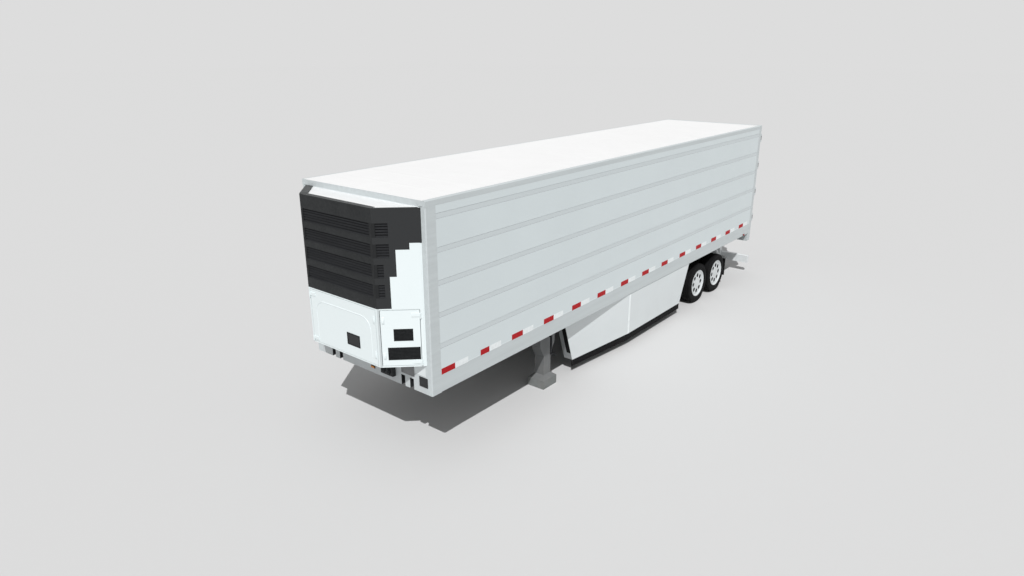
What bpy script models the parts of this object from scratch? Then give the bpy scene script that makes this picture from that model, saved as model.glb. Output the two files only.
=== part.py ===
"""Refrigerated semi trailer with tandem axles, side skirts and a cooling unit on its nose.

Metres, +Z up, the ground at z = 0. The trailer lies along Y with its nose towards -Y, and +X is the
street side. Places along the body are given as stations, measured back from the front wall.
"""
import math

import bmesh
import bpy
from mathutils import Matrix, Vector

# Box body
BODY_LENGTH = 11.79
BODY_WIDTH = 2.59
BODY_HEIGHT = 2.773          # underside of the bottom rail to the top of the roof
RAIL_UNDERSIDE = 1.10        # ground to the underside of the bottom rail
WALL_THICKNESS = 0.065
ROOF_THICKNESS = 0.08
FRONT_WALL_THICKNESS = 0.12
FLOOR_THICKNESS = 0.13
BOTTOM_RAIL_HEIGHT = 0.27
BOTTOM_RAIL_WEB = 0.03
RAIL_LIP_REACH = 0.10
RAIL_LIP_THICKNESS = 0.03
TOP_RAIL_HEIGHT = 0.087
TOP_RAIL_WIDTH = 0.05
EDGE_ROUND = 0.012
CORNER_POST_WIDTH = 0.12
CORNER_POST_DEPTH = 0.188
GROOVE_COUNT = 5
GROOVE_FIRST = 0.667         # underside of the bottom rail to the lowest groove
GROOVE_LAND = 0.103          # highest groove to the top of the wall
GROOVE_HEIGHT = 0.08
GROOVE_DEPTH = 0.005
CROSSMEMBER_PITCH = 0.41
CROSSMEMBER_FLANGE = 0.05
CROSSMEMBER_WEB = 0.014
CROSSMEMBER_SKIN = 0.012
POCKET_WIDTH = 0.08
POCKET_HEIGHT = 0.165
POCKET_DEPTH = 0.06
POCKET_SETBACKS = (0.589, 0.409)     # pocket centres in from the body's side

# Rear frame and doors
REAR_FRAME_DEPTH = 0.14
REAR_POST_WIDTH = 0.10
HEADER_HEIGHT = 0.173
SILL_DROP = 0.19             # how far the sill hangs below the bottom rail
SILL_DEPTH = 0.19
DOOR_THICKNESS = 0.075
DOOR_RECESS = 0.01
DOOR_EDGE_GAP = 0.008
DOOR_CENTRE_GAP = 0.022
DOOR_HINGE_COUNT = 4
DOOR_HINGE_INSET = 0.018     # hinge axis in from the body's side
DOOR_HINGE_REACH = 0.07      # hinge axis behind the rear frame
DOOR_HINGE_RADIUS = 0.016
DOOR_HINGE_HEIGHT = 0.10
DOOR_LUG_HEIGHT = 0.045
LOCK_ROD_RADIUS = 0.012
LOCK_ROD_STANDOFF = 0.032    # lock rod's centre from the door's face
LOCK_ROD_SHARES = (0.246, 0.688)     # rod centres as shares of the door's width, from its free edge
KEEPER_GAP = 0.006
KEEPER_THICKNESS = 0.01
KEEPER_HEIGHT = 0.07
KEEPER_MARGIN = 0.02         # keeper to the doorway's edge
STRAP_LENGTH = 0.36          # hinge strap, from the pin along the door
STRAP_START = 0.15
STRAP_THICKNESS = 0.013
STRAP_BEND = ((0.065, -0.028), (0.13, -0.036))      # outer bend of the strap, from the pin
STRAP_HEEL = ((0.098, -0.052), (0.045, -0.052))     # inner bend of the strap, from the pin
GUIDE_SIZE = 0.06
GUIDE_MARGIN = 0.10
HANDLE_LENGTH = 0.24
HANDLE_RISE = 0.45           # floor to the handles
HANDLE_THICKNESS = 0.012
HANDLE_HEIGHT = 0.04

# Coupling and landing gear
KINGPIN_STATION = 0.914
KINGPIN_RADIUS = 0.0254
KINGPIN_LENGTH = 0.085
# kingpin steps: share of its length above the tip, multiple of its neck's radius
KINGPIN_STEPS = ((0.0, 0.8), (0.07, 1.4), (0.22, 1.4), (0.25, 1.0), (0.59, 1.0), (0.64, 1.44))
COUPLER_LENGTH = 1.62
COUPLER_WIDTH = 1.80
COUPLER_THICKNESS = 0.02
COUPLER_RAMP = 0.10
LEG_STATION = 3.06
LEG_SETBACK = 0.345          # leg's centre in from the body's side
LEG_SIZE = 0.20
LEG_HEAD_LENGTH = 0.42
LEG_HEAD_HEIGHT = 0.34
LEG_FLARE_HEIGHT = 0.20
FOOT_WIDTH = 0.34
FOOT_LENGTH = 0.387
FOOT_HEIGHT = 0.16
FOOT_CHAMFER = 0.07
BRACE_SIZE = 0.06
BRACE_HEIGHT = 0.72
BRACE_STRUT_FOOT = (0.02, 0.12)      # strut's foot on the tube, in from the leg
BRACE_STRUT_HEAD = (0.53, 0.65)      # strut's head under the crossmember, in from the leg
CRANK_RADIUS = 0.016
CRANK_REACH = 0.09
CRANK_ARM_THICKNESS = 0.025
CRANK_DROP = 0.34
CRANK_GRIP_RADIUS = 0.013
CRANK_GRIP_REACH = 0.16

# Running gear
WHEEL_RADIUS = 0.465
TYRE_WIDTH = 0.255
TYRE_SETBACK = 0.025         # outer tyre's outer face in from the body's side
TYRE_BEAD_RISE = 0.075
TYRE_SHOULDER = 0.035
DUAL_SPACING = 0.33
RIM_SEAT_RADIUS = 0.2835
RIM_FLANGE_RADIUS = 0.308
RIM_WIDTH = 0.22
RIM_LIP = 0.013
RIM_WALL = 0.012
RIM_TAPER = 0.01
DISC_HALF_THICKNESS = 0.012
DISC_RADIUS = 0.19
HUB_RADIUS = 0.11
HUB_REACH = 0.235            # hub cap beyond the plane between the twin tyres
HUB_CAP_RADIUS = 0.07
HUB_BORE_DEPTH = 0.125       # hub cap's face to the end of the spindle's bore
SPINDLE_END_GAP = 0.005
DRUM_RADIUS = 0.205
DRUM_REACH = 0.2775          # drum's open end inside the plane between the twin tyres
COVER_RECESS = 0.016         # wheel cover's edge in from the outer rim's flange
COVER_THICKNESS = 0.006
COVER_HOLE_RADIUS = 0.037
COVER_HOLE_CIRCLE = 0.19
COVER_HOLE_COUNT = 8
WHEEL_SEGMENTS = 20
SPINDLE_RADIUS = 0.05
AXLE_RADIUS = 0.0635
AXLE_STATIONS = (8.80, 9.83)
AXLE_DRUM_GAP = 0.03         # axle tube's end to the drum
SLIDER_SETBACK = 0.775       # slider rail's centre in from the body's side
SLIDER_WIDTH = 0.10
SLIDER_HEIGHT = 0.16
SLIDER_START = 6.95
TIE_LEAD = 0.12              # first tie behind the rails' front ends
TIE_WIDTH = 0.08
TIE_INSET = 0.03
HANGER_LEAD = 0.42           # spring hanger ahead of its axle
HANGER_FOOT = 0.43
HANGER_LENGTH = 0.16
HANGER_CHEEK = 0.012
HANGER_ROUND = 0.03
HANGER_PLAY = 0.006          # arm's eye to each cheek
ARM_WIDTH = 0.07
ARM_EYE = 0.045
ARM_EYE_FLAT = 0.02
ARM_TOP = 0.575
ARM_TAIL = 0.09              # arm's tail behind the air spring's centre
ARM_TAIL_HEIGHT = 0.03
ARM_SEAT = 0.12              # arm's level seat ahead of the air spring's centre
AIR_SPRING_LAG = 0.30        # air spring behind its axle
AIR_SPRING_RADIUS = 0.13
# air spring steps: share of its height, share of its radius
AIR_SPRING_STEPS = ((0.0, 0.58), (0.28, 0.65), (0.37, 0.94), (0.51, 1.0), (0.85, 1.0), (0.95, 0.73),
                    (1.0, 0.73))
BRAKE_CHAMBER_RADIUS = 0.075
BRAKE_CHAMBER_LENGTH = 0.15
BRAKE_CHAMBER_ROUND = 0.02
BRAKE_CHAMBER_END_SHARE = 0.7
BRAKE_CHAMBER_INSET = 0.20   # chamber's centre in from the slider rail's
BRAKE_CHAMBER_GAP = 0.05     # chamber behind the axle tube
BRAKE_CHAMBER_RISE = 0.03
BRAKE_BRACKET = 0.06

# Below the box
SKIRT_THICKNESS = 0.02
SKIRT_BOTTOM = 0.265
SKIRT_JOINT = 5.50
SKIRT_TOP_ENDS = (3.49, 8.136)
SKIRT_BOTTOM_ENDS = (3.75, 7.77)
SKIRT_TAPER = 0.0971         # how far the front panel runs inwards per metre forwards
SKIRT_RETURN = 0.18
STRIP_HEIGHT = 0.13
STRIP_THICKNESS = 0.012
SKIRT_SETBACK = 0.002
SKIRT_SEAM = 0.006
RETURN_SETBACK = 0.002
STRIP_SETBACK = 0.004
STRUT_WIDTH = 0.05
STRUT_FOOT = (0.10, 0.22)    # strut's foot on the panel, up from its lower edge
STRUT_HEAD = (0.30, 0.38)    # strut's head, in from the panel
STRUT_STATIONS = {"front": (4.2, 5.1), "rear": (5.9, 7.4)}
FLAP_STATION = 10.43
FLAP_TOP = 0.75
FLAP_BOTTOM = 0.25
FLAP_THICKNESS = 0.012
FLAP_SETBACK = 0.065         # flap's outer edge in from the body's side
FLAP_WIDTH = 0.61
FLAP_BAR_SIZE = 0.05
FLAP_BAR_LAP = 0.03          # bar past the slider rail's centre
GUARD_REACH = 0.11           # guard bar behind the rear frame
GUARD_BOTTOM = 0.26
GUARD_HEIGHT = 0.19
GUARD_UPRIGHT_WIDTH = 0.08
GUARD_UPRIGHT_LAP = 0.02
GUARD_UPRIGHT_DEPTH = 0.10
GUARD_BRACE_WIDTH = 0.048
GUARD_BRACE_RUN = 0.80
GUARD_BRACE_FOOT = (0.03, 0.11)      # brace's foot, up from the bar's underside
GUARD_BRACE_HEAD = 0.10
LAMP_STRIP_HEIGHT = 0.13
LAMP_STRIP_THICKNESS = 0.012
LAMP_STRIP_MARGIN = 0.10
LAMP_RADIUS = 0.05
LAMP_REACH = 0.026
LAMP_END_SHARE = 0.9
LAMP_SETBACKS = (0.675, 0.495, 0.315)    # lamp centres in from the body's side
TANK_STATION = 4.62
TANK_RADIUS = 0.27
TANK_LENGTH = 1.30
TANK_DROP = 0.04
TANK_END = 0.05
TANK_END_SHARE = 0.7
TANK_HANGER_INSET = 0.25
TANK_HANGER_THICKNESS = 0.06
TANK_HANGER_EDGE = 0.03
TANK_HANGER_FOOT = (0.15, 0.10)      # half length and height of the hanger's foot on the tank

# Cooling unit on the nose
UNIT_DEPTH = 0.44
UNIT_SETBACK = 0.08          # unit's back edge in from the body's side
UNIT_CORNER_RUN = 0.465      # how much narrower the front is, on each side
UNIT_BOTTOM = 1.55
UNIT_SPLIT = 2.39            # top of the service doors
UNIT_DROP = 0.093            # unit's top below the roof's
UNIT_PANEL = 0.022
UNIT_DECK = 0.02
UNIT_POST = 0.03
UNIT_FLANGE = 0.066          # fixed strip of the corner face behind the side doors
UNIT_DOOR_GAP = 0.008        # service door's free edge to its frame
UNIT_DOOR_SLIT = 0.006       # its other edges to their frame
UNIT_HINGE_RADIUS = 0.011
UNIT_HINGE_HEIGHT = 0.05
UNIT_HINGE_MARGIN = 0.075    # hinge's middle to the door's end
UNIT_HINGE_LEAF = 0.12
UNIT_LEAF_THICKNESS = 0.008
# stepped edge of the dark cowl: share of the corner face, share of the cowl's height
COWL_STEPS = ((0.314, 0.336), (0.458, 0.601), (0.744, 0.665))
GRILLE_COUNT = 4
GRILLE_FIRST = 0.17          # top of the service doors to the lowest grille opening
GRILLE_LAST = 0.20           # highest grille opening to the unit's top
GRILLE_GAP = 0.092
GRILLE_EDGE = 0.045          # opening's end to the edge between front and corner
GRILLE_CORNER_SHARES = (0.20, 0.20, 0.33, 0.33)     # end of each corner opening, lowest first
# vents of the side doors: ends as shares of the corner face, ends as shares of the door's height
DOOR_VENTS = (((0.322, 0.735), (0.447, 0.668)), ((0.185, 0.875), (0.100, 0.334)))
ENGINE_HALF_WIDTH = 0.45
ENGINE_HEIGHT = 0.55
ENGINE_FRONT_ROOM = 0.10
ENGINE_BACK_ROOM = 0.04
CONDENSER_MARGIN = 0.05
CONDENSER_ROOM = 0.08        # unit's front to the condenser
CONDENSER_THICKNESS = 0.07
CONDENSER_TOP_ROOM = 0.04
CONNECTOR_SPAN = (0.29, 0.55)
CONNECTOR_HEIGHTS = (0.10, 0.25)     # above the underside of the bottom rail
CONNECTOR_DEPTH = 0.06
COUPLING_SHARES = (0.28, 0.72)
COUPLING_RADII = (0.022, 0.03)
COUPLING_LENGTH = 0.03

# Clearances
SEAT_GAP = 0.0003            # between pieces that touch
RUN_GAP = 0.0008             # radial gap in a hub
KNUCKLE_GAP = 0.0006         # between hinge knuckles on one pin
LEAF_EDGE = 0.001            # hinge leaf's edge beside the pin's axis
MESH_OVERLAP = 0.004         # how far welded pieces run into each other

# Heights and stations that follow from the sizes above
HALF_WIDTH = BODY_WIDTH / 2
NOSE_Y = (UNIT_DEPTH + 2 * UNIT_HINGE_RADIUS - BODY_LENGTH - GUARD_REACH) / 2
REAR_Y = NOSE_Y + BODY_LENGTH
BODY_TOP = RAIL_UNDERSIDE + BODY_HEIGHT
FLOOR_TOP = RAIL_UNDERSIDE + BOTTOM_RAIL_HEIGHT
WALL_TOP = BODY_TOP - TOP_RAIL_HEIGHT
UNIT_TOP = BODY_TOP - UNIT_DROP
CROSS_BOTTOM = RAIL_UNDERSIDE + RAIL_LIP_THICKNESS + SEAT_GAP
BELOW_CROSS = CROSS_BOTTOM - SEAT_GAP
INNER_HALF = HALF_WIDTH - WALL_THICKNESS
FRAME_FRONT = REAR_Y - REAR_FRAME_DEPTH
DOORWAY_TOP = BODY_TOP - HEADER_HEIGHT
LEG_OFFSET = HALF_WIDTH - LEG_SETBACK
DUAL_CENTRE = HALF_WIDTH - TYRE_SETBACK - (TYRE_WIDTH + DUAL_SPACING) / 2
DRUM_INNER_END = DUAL_CENTRE - DRUM_REACH
SLIDER_OFFSET = HALF_WIDTH - SLIDER_SETBACK
UNIT_BACK_HALF = HALF_WIDTH - UNIT_SETBACK
UNIT_FRONT_HALF = UNIT_BACK_HALF - UNIT_CORNER_RUN
SIDES = (("street", 1), ("curb", -1))

WHITE = ((0.82, 0.85, 0.86), 0.35, 0.0)
ROOF_WHITE = ((0.95, 0.95, 0.95), 0.4, 0.0)
RAIL_GREY = ((0.56, 0.60, 0.61), 0.4, 0.6)
ALUMINIUM = ((0.66, 0.69, 0.70), 0.35, 0.8)
STEEL_GREY = ((0.17, 0.18, 0.185), 0.55, 0.2)
UNIT_WHITE = ((0.84, 0.88, 0.90), 0.3, 0.0)
UNIT_DARK = ((0.035, 0.037, 0.04), 0.5, 0.0)
RUBBER = ((0.015, 0.015, 0.016), 0.8, 0.0)
LAMP_RED = ((0.35, 0.01, 0.015), 0.25, 0.0)


def station(distance):
    """World Y of a place this far behind the front wall."""
    return NOSE_Y + distance


def finish_mesh(name, bm):
    """Close a bmesh into an object whose faces point outwards."""
    bmesh.ops.recalc_face_normals(bm, faces=bm.faces)
    mesh = bpy.data.meshes.new(name)
    bm.to_mesh(mesh)
    bm.free()
    body = bpy.data.objects.new(name, mesh)
    bpy.context.collection.objects.link(body)
    return body


def loft(name, sections):
    """Skin over rings of points that all have the same count, closed at both ends."""
    bm = bmesh.new()
    rings = [[bm.verts.new(point) for point in section] for section in sections]
    bm.faces.new(rings[0])
    bm.faces.new(rings[-1])
    for lower, upper in zip(rings, rings[1:]):
        for i in range(len(lower)):
            j = (i + 1) % len(lower)
            bm.faces.new((lower[i], lower[j], upper[j], upper[i]))
    return finish_mesh(name, bm)


def prism(name, outline, axis, start, end):
    """Extrude an outline along X (given as y, z), Y (x, z) or Z (x, y)."""
    place = {
        "X": lambda a, b, depth: (depth, a, b),
        "Y": lambda a, b, depth: (a, depth, b),
        "Z": lambda a, b, depth: (a, b, depth),
    }[axis]
    return loft(name, [[place(a, b, depth) for a, b in outline] for depth in (start, end)])


def box(name, x_span, y_span, z_span):
    (x0, x1), (y0, y1), (z0, z1) = sorted(x_span), sorted(y_span), sorted(z_span)
    return prism(name, [(x0, y0), (x1, y0), (x1, y1), (x0, y1)], "Z", z0, z1)


def turned(name, profile, centre, axis, segments, ring=False):
    """Turn a profile of (place along the axis, radius) about an axis through centre.

    A radius of 0 makes a pole. A ring closes its last point onto its first.
    """
    turn = {"X": Matrix.Identity(3), "Y": Matrix.Rotation(math.pi / 2, 3, "Z"),
            "Z": Matrix.Rotation(-math.pi / 2, 3, "Y")}[axis]
    bm = bmesh.new()
    rows = []
    for along, radius in profile:
        steps = segments if radius else 1
        row = []
        for k in range(steps):
            angle = (k + 0.5) * 2 * math.pi / segments
            spot = Vector((along, radius * math.cos(angle), radius * math.sin(angle)))
            row.append(bm.verts.new(Vector(centre) + turn @ spot))
        rows.append(row)
    pairs = list(zip(rows, rows[1:]))
    if ring:
        pairs.append((rows[-1], rows[0]))
    for first, second in pairs:
        for k in range(segments):
            nxt = (k + 1) % segments
            corners = [first[k % len(first)], first[nxt % len(first)],
                       second[nxt % len(second)], second[k % len(second)]]
            bm.faces.new(list(dict.fromkeys(corners)))
    if not ring:
        for row in (rows[0], rows[-1]):
            if len(row) > 1:
                bm.faces.new(row)
    return finish_mesh(name, bm)


def combine(operation, body, tools, name):
    """Add or take away solids, and leave one plain mesh."""
    for tool in tools:
        modifier = body.modifiers.new(operation.lower(), "BOOLEAN")
        modifier.operation = operation
        modifier.solver = "EXACT"
        modifier.object = tool
    graph = bpy.context.evaluated_depsgraph_get()
    graph.update()
    mesh = bpy.data.meshes.new_from_object(body.evaluated_get(graph))
    body.modifiers.clear()
    body.data = mesh
    body.name = name
    for tool in tools:
        bpy.data.objects.remove(tool)
    return body


def gather(pieces):
    """Put pieces that don't touch each other into one tool."""
    bm = bmesh.new()
    for piece in pieces:
        bm.from_mesh(piece.data)
        bpy.data.objects.remove(piece)
    return finish_mesh("tool", bm)


def weld(name, pieces):
    return combine("UNION", pieces[0], pieces[1:], name)


def cut(body, cutters):
    return combine("DIFFERENCE", body, cutters, body.name)


def paint(body, finish, round_angle=None):
    """Give a body its own material, and smooth faces where it is round."""
    colour, roughness, metallic = finish
    material = bpy.data.materials.new(body.name)
    material.use_nodes = True
    shader = material.node_tree.nodes["Principled BSDF"]
    shader.inputs["Base Color"].default_value = (*colour, 1.0)
    shader.inputs["Roughness"].default_value = roughness
    shader.inputs["Metallic"].default_value = metallic
    body.data.materials.clear()
    body.data.materials.append(material)
    body.data.name = body.name
    if round_angle:
        body.data.shade_smooth()
        body.data.set_sharp_from_angle(angle=math.radians(round_angle))
    return body


def pivot(name, place, pieces):
    """Hang moving pieces on an empty that lies on their joint's axis."""
    empty = bpy.data.objects.new(name, None)
    empty.location = place
    bpy.context.collection.objects.link(empty)
    bpy.context.view_layer.update()
    for piece in pieces:
        piece.parent = empty
        piece.matrix_parent_inverse = empty.matrix_world.inverted()
    return empty


def crossmember_stations():
    """Stations of the crossmembers' centre lines, from the nose to the rear frame."""
    first = FRONT_WALL_THICKNESS + CROSSMEMBER_FLANGE
    last = BODY_LENGTH - REAR_FRAME_DEPTH - CROSSMEMBER_FLANGE
    count = int((last - first) / CROSSMEMBER_PITCH)
    return [first + i * CROSSMEMBER_PITCH for i in range(count + 1)] + [last]


def nearest_crossmember(distance):
    return min(crossmember_stations(), key=lambda place: abs(place - distance))


def side_wall(side, sign):
    """Insulated side wall with shallow horizontal grooves in its outer skin."""
    bottom = FLOOR_TOP + SEAT_GAP
    top = WALL_TOP - SEAT_GAP
    first = RAIL_UNDERSIDE + GROOVE_FIRST
    pitch = (WALL_TOP - GROOVE_LAND - GROOVE_HEIGHT - first) / (GROOVE_COUNT - 1)
    outline = [(INNER_HALF, top), (INNER_HALF, bottom), (HALF_WIDTH, bottom)]
    for i in range(GROOVE_COUNT):
        low = first + i * pitch
        high = low + GROOVE_HEIGHT
        inner = HALF_WIDTH - GROOVE_DEPTH
        outline += [(HALF_WIDTH, low), (inner, low + GROOVE_DEPTH),
                    (inner, high - GROOVE_DEPTH), (HALF_WIDTH, high)]
    outline.append((HALF_WIDTH, top))
    outline = [(sign * x, z) for x, z in outline]
    start = station(CORNER_POST_DEPTH) + SEAT_GAP
    wall = prism(f"side_wall_{side}", outline, "Y", start, FRAME_FRONT - SEAT_GAP)
    return paint(wall, WHITE)


def bottom_rail(side, sign):
    """Bottom rail: a web with a head under the wall and a lip under the crossmembers."""
    low, high = RAIL_UNDERSIDE, FLOOR_TOP
    web = HALF_WIDTH - BOTTOM_RAIL_WEB
    lip = HALF_WIDTH - RAIL_LIP_REACH
    head = high - FLOOR_THICKNESS
    outline = [(lip, low), (HALF_WIDTH - EDGE_ROUND, low), (HALF_WIDTH, low + EDGE_ROUND),
               (HALF_WIDTH, high), (INNER_HALF + SEAT_GAP, high), (INNER_HALF + SEAT_GAP, head),
               (web, head), (web, low + RAIL_LIP_THICKNESS),
               (lip, low + RAIL_LIP_THICKNESS)]
    outline = [(sign * x, z) for x, z in outline]
    start = station(CORNER_POST_DEPTH) + SEAT_GAP
    rail = prism(f"bottom_rail_{side}", outline, "Y", start, FRAME_FRONT - SEAT_GAP)
    return paint(rail, RAIL_GREY)


def top_rail(side, sign):
    low = WALL_TOP
    inner = HALF_WIDTH - TOP_RAIL_WIDTH
    outline = [(inner, low), (HALF_WIDTH, low), (HALF_WIDTH, BODY_TOP - EDGE_ROUND),
               (HALF_WIDTH - EDGE_ROUND, BODY_TOP), (inner, BODY_TOP)]
    outline = [(sign * x, z) for x, z in outline]
    rail = prism(f"top_rail_{side}", outline, "Y", station(0), FRAME_FRONT - SEAT_GAP)
    return paint(rail, RAIL_GREY)


def roof():
    half = HALF_WIDTH - TOP_RAIL_WIDTH - SEAT_GAP
    low = BODY_TOP - ROOF_THICKNESS
    sheet = box("roof", (-half, half), (station(0), FRAME_FRONT - SEAT_GAP), (low, BODY_TOP))
    return paint(sheet, ROOF_WHITE)


def front_wall():
    half = HALF_WIDTH - CORNER_POST_WIDTH - SEAT_GAP
    top = BODY_TOP - ROOF_THICKNESS - SEAT_GAP
    wall = box("front_wall", (-half, half), (station(0), station(FRONT_WALL_THICKNESS)),
               (FLOOR_TOP + SEAT_GAP, top))
    return paint(wall, WHITE)


def corner_post(side, sign):
    """Front corner post, wrapping from the nose on to the side wall."""
    inner = HALF_WIDTH - CORNER_POST_WIDTH
    wall = INNER_HALF
    nose, back = station(0), station(CORNER_POST_DEPTH)
    outline = [(inner, nose), (HALF_WIDTH - EDGE_ROUND, nose), (HALF_WIDTH, nose + EDGE_ROUND),
               (HALF_WIDTH, back), (wall, back), (wall, station(FRONT_WALL_THICKNESS)),
               (inner, station(FRONT_WALL_THICKNESS))]
    outline = [(sign * x, y) for x, y in outline]
    post = prism(f"corner_post_{side}", outline, "Z", RAIL_UNDERSIDE, WALL_TOP - SEAT_GAP)
    return paint(post, RAIL_GREY)


def nose_sill():
    """Front sill under the nose wall, with two pockets on each side."""
    half = HALF_WIDTH - CORNER_POST_WIDTH - SEAT_GAP
    sill = box("nose_sill", (-half, half), (station(0), station(FRONT_WALL_THICKNESS)),
               (RAIL_UNDERSIDE, FLOOR_TOP))
    cutters = []
    for sign in (1, -1):
        for setback in POCKET_SETBACKS:
            centre = sign * (HALF_WIDTH - setback)
            x_span = (centre - POCKET_WIDTH / 2, centre + POCKET_WIDTH / 2)
            y_span = (station(-MESH_OVERLAP), station(POCKET_DEPTH))
            z_span = (RAIL_UNDERSIDE - MESH_OVERLAP, RAIL_UNDERSIDE + POCKET_HEIGHT)
            cutters.append(box("pocket", x_span, y_span, z_span))
    return paint(cut(sill, cutters), WHITE)


def floor():
    half = INNER_HALF - SEAT_GAP
    deck = box("floor", (-half, half),
               (station(FRONT_WALL_THICKNESS) + SEAT_GAP, FRAME_FRONT - SEAT_GAP),
               (FLOOR_TOP - FLOOR_THICKNESS, FLOOR_TOP))
    return paint(deck, ALUMINIUM)


def underframe():
    """Crossmembers with flanged feet under one thin skin, drawn as a comb and run across."""
    skin_top = FLOOR_TOP - FLOOR_THICKNESS - SEAT_GAP
    skin_low = skin_top - CROSSMEMBER_SKIN
    start = station(FRONT_WALL_THICKNESS) + SEAT_GAP
    end = FRAME_FRONT - SEAT_GAP
    outline = [(end, skin_low), (end, skin_top), (start, skin_top), (start, skin_low)]
    for place in crossmember_stations():
        y = station(place)
        web, foot = CROSSMEMBER_WEB / 2, CROSSMEMBER_FLANGE / 2 - SEAT_GAP
        foot_top = CROSS_BOTTOM + CROSSMEMBER_WEB
        outline += [(y - web, skin_low), (y - web, foot_top), (y - foot, foot_top),
                    (y - foot, CROSS_BOTTOM), (y + foot, CROSS_BOTTOM), (y + foot, foot_top),
                    (y + web, foot_top), (y + web, skin_low)]
    half = INNER_HALF - SEAT_GAP
    frame = prism("underframe", outline, "X", -half, half)
    return paint(frame, STEEL_GREY)


def hinge_outline(points, sign):
    """Door-hinge points (out from the pin along the door, out from the pin rearwards) in plan."""
    axis_x = sign * (HALF_WIDTH - DOOR_HINGE_INSET)
    axis_y = REAR_Y + DOOR_HINGE_REACH
    return [(axis_x - sign * along, axis_y + out) for along, out in points]


def knuckle_arc(start, end, radius, steps=4):
    """Points on the knuckle's round, from one angle to another in degrees."""
    angles = [math.radians(start + (end - start) * k / steps) for k in range(steps + 1)]
    return [(radius * math.cos(angle), radius * math.sin(angle)) for angle in angles]


def hinge_heights():
    """Middle heights of the rear doors' hinges."""
    low = FLOOR_TOP + DOOR_HINGE_HEIGHT + DOOR_LUG_HEIGHT
    high = DOORWAY_TOP - DOOR_HINGE_HEIGHT - DOOR_LUG_HEIGHT
    return [low + (high - low) * k / (DOOR_HINGE_COUNT - 1) for k in range(DOOR_HINGE_COUNT)]


def door_edges():
    """Free edge and hinged edge of a rear door, from the centre plane."""
    return DOOR_CENTRE_GAP / 2, HALF_WIDTH - REAR_POST_WIDTH - DOOR_EDGE_GAP


def lock_rod_places():
    near, far = door_edges()
    return [near + share * (far - near) for share in LOCK_ROD_SHARES]


def rear_frame():
    """Rear frame: posts, header and deep sill, with hinge lugs and lock-rod keepers."""
    bottom = RAIL_UNDERSIDE - SILL_DROP
    opening = HALF_WIDTH - REAR_POST_WIDTH
    frame = box("rear_frame", (-HALF_WIDTH, HALF_WIDTH), (FRAME_FRONT, REAR_Y), (bottom, BODY_TOP))
    doorway = box("doorway", (-opening, opening),
                  (FRAME_FRONT - MESH_OVERLAP, REAR_Y + MESH_OVERLAP), (FLOOR_TOP, DOORWAY_TOP))
    parts = [cut(frame, [doorway]),
             box("sill_box", (-HALF_WIDTH, HALF_WIDTH),
                 (REAR_Y - SILL_DEPTH, FRAME_FRONT + MESH_OVERLAP),
                 (bottom, RAIL_UNDERSIDE - SEAT_GAP))]
    fittings = []
    lug = [(-DOOR_HINGE_RADIUS, -DOOR_HINGE_REACH - MESH_OVERLAP)]
    lug += knuckle_arc(180, 0, DOOR_HINGE_RADIUS)
    lug.append((2 * DOOR_HINGE_RADIUS, -DOOR_HINGE_REACH - MESH_OVERLAP))
    near = DOOR_HINGE_HEIGHT / 2 + KNUCKLE_GAP
    for _, sign in SIDES:
        for height in hinge_heights():
            for low in (height + near, height - near - DOOR_LUG_HEIGHT):
                fittings.append(prism("lug", hinge_outline(lug, sign), "Z",
                                      low, low + DOOR_LUG_HEIGHT))
    rod_room = LOCK_ROD_RADIUS + KEEPER_GAP
    reach = LOCK_ROD_STANDOFF - DOOR_RECESS + LOCK_ROD_RADIUS
    for sign in (1, -1):
        for rod in lock_rod_places():
            for low in (FLOOR_TOP - KEEPER_HEIGHT - KEEPER_MARGIN, DOORWAY_TOP + KEEPER_MARGIN):
                for cheek in (-rod_room - KEEPER_THICKNESS, rod_room):
                    x = sign * rod + cheek
                    fittings.append(box("keeper", (x, x + KEEPER_THICKNESS),
                                        (REAR_Y - MESH_OVERLAP, REAR_Y + reach),
                                        (low, low + KEEPER_HEIGHT)))
    parts.append(gather(fittings))
    return paint(weld("rear_frame", parts), ALUMINIUM)


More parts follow.
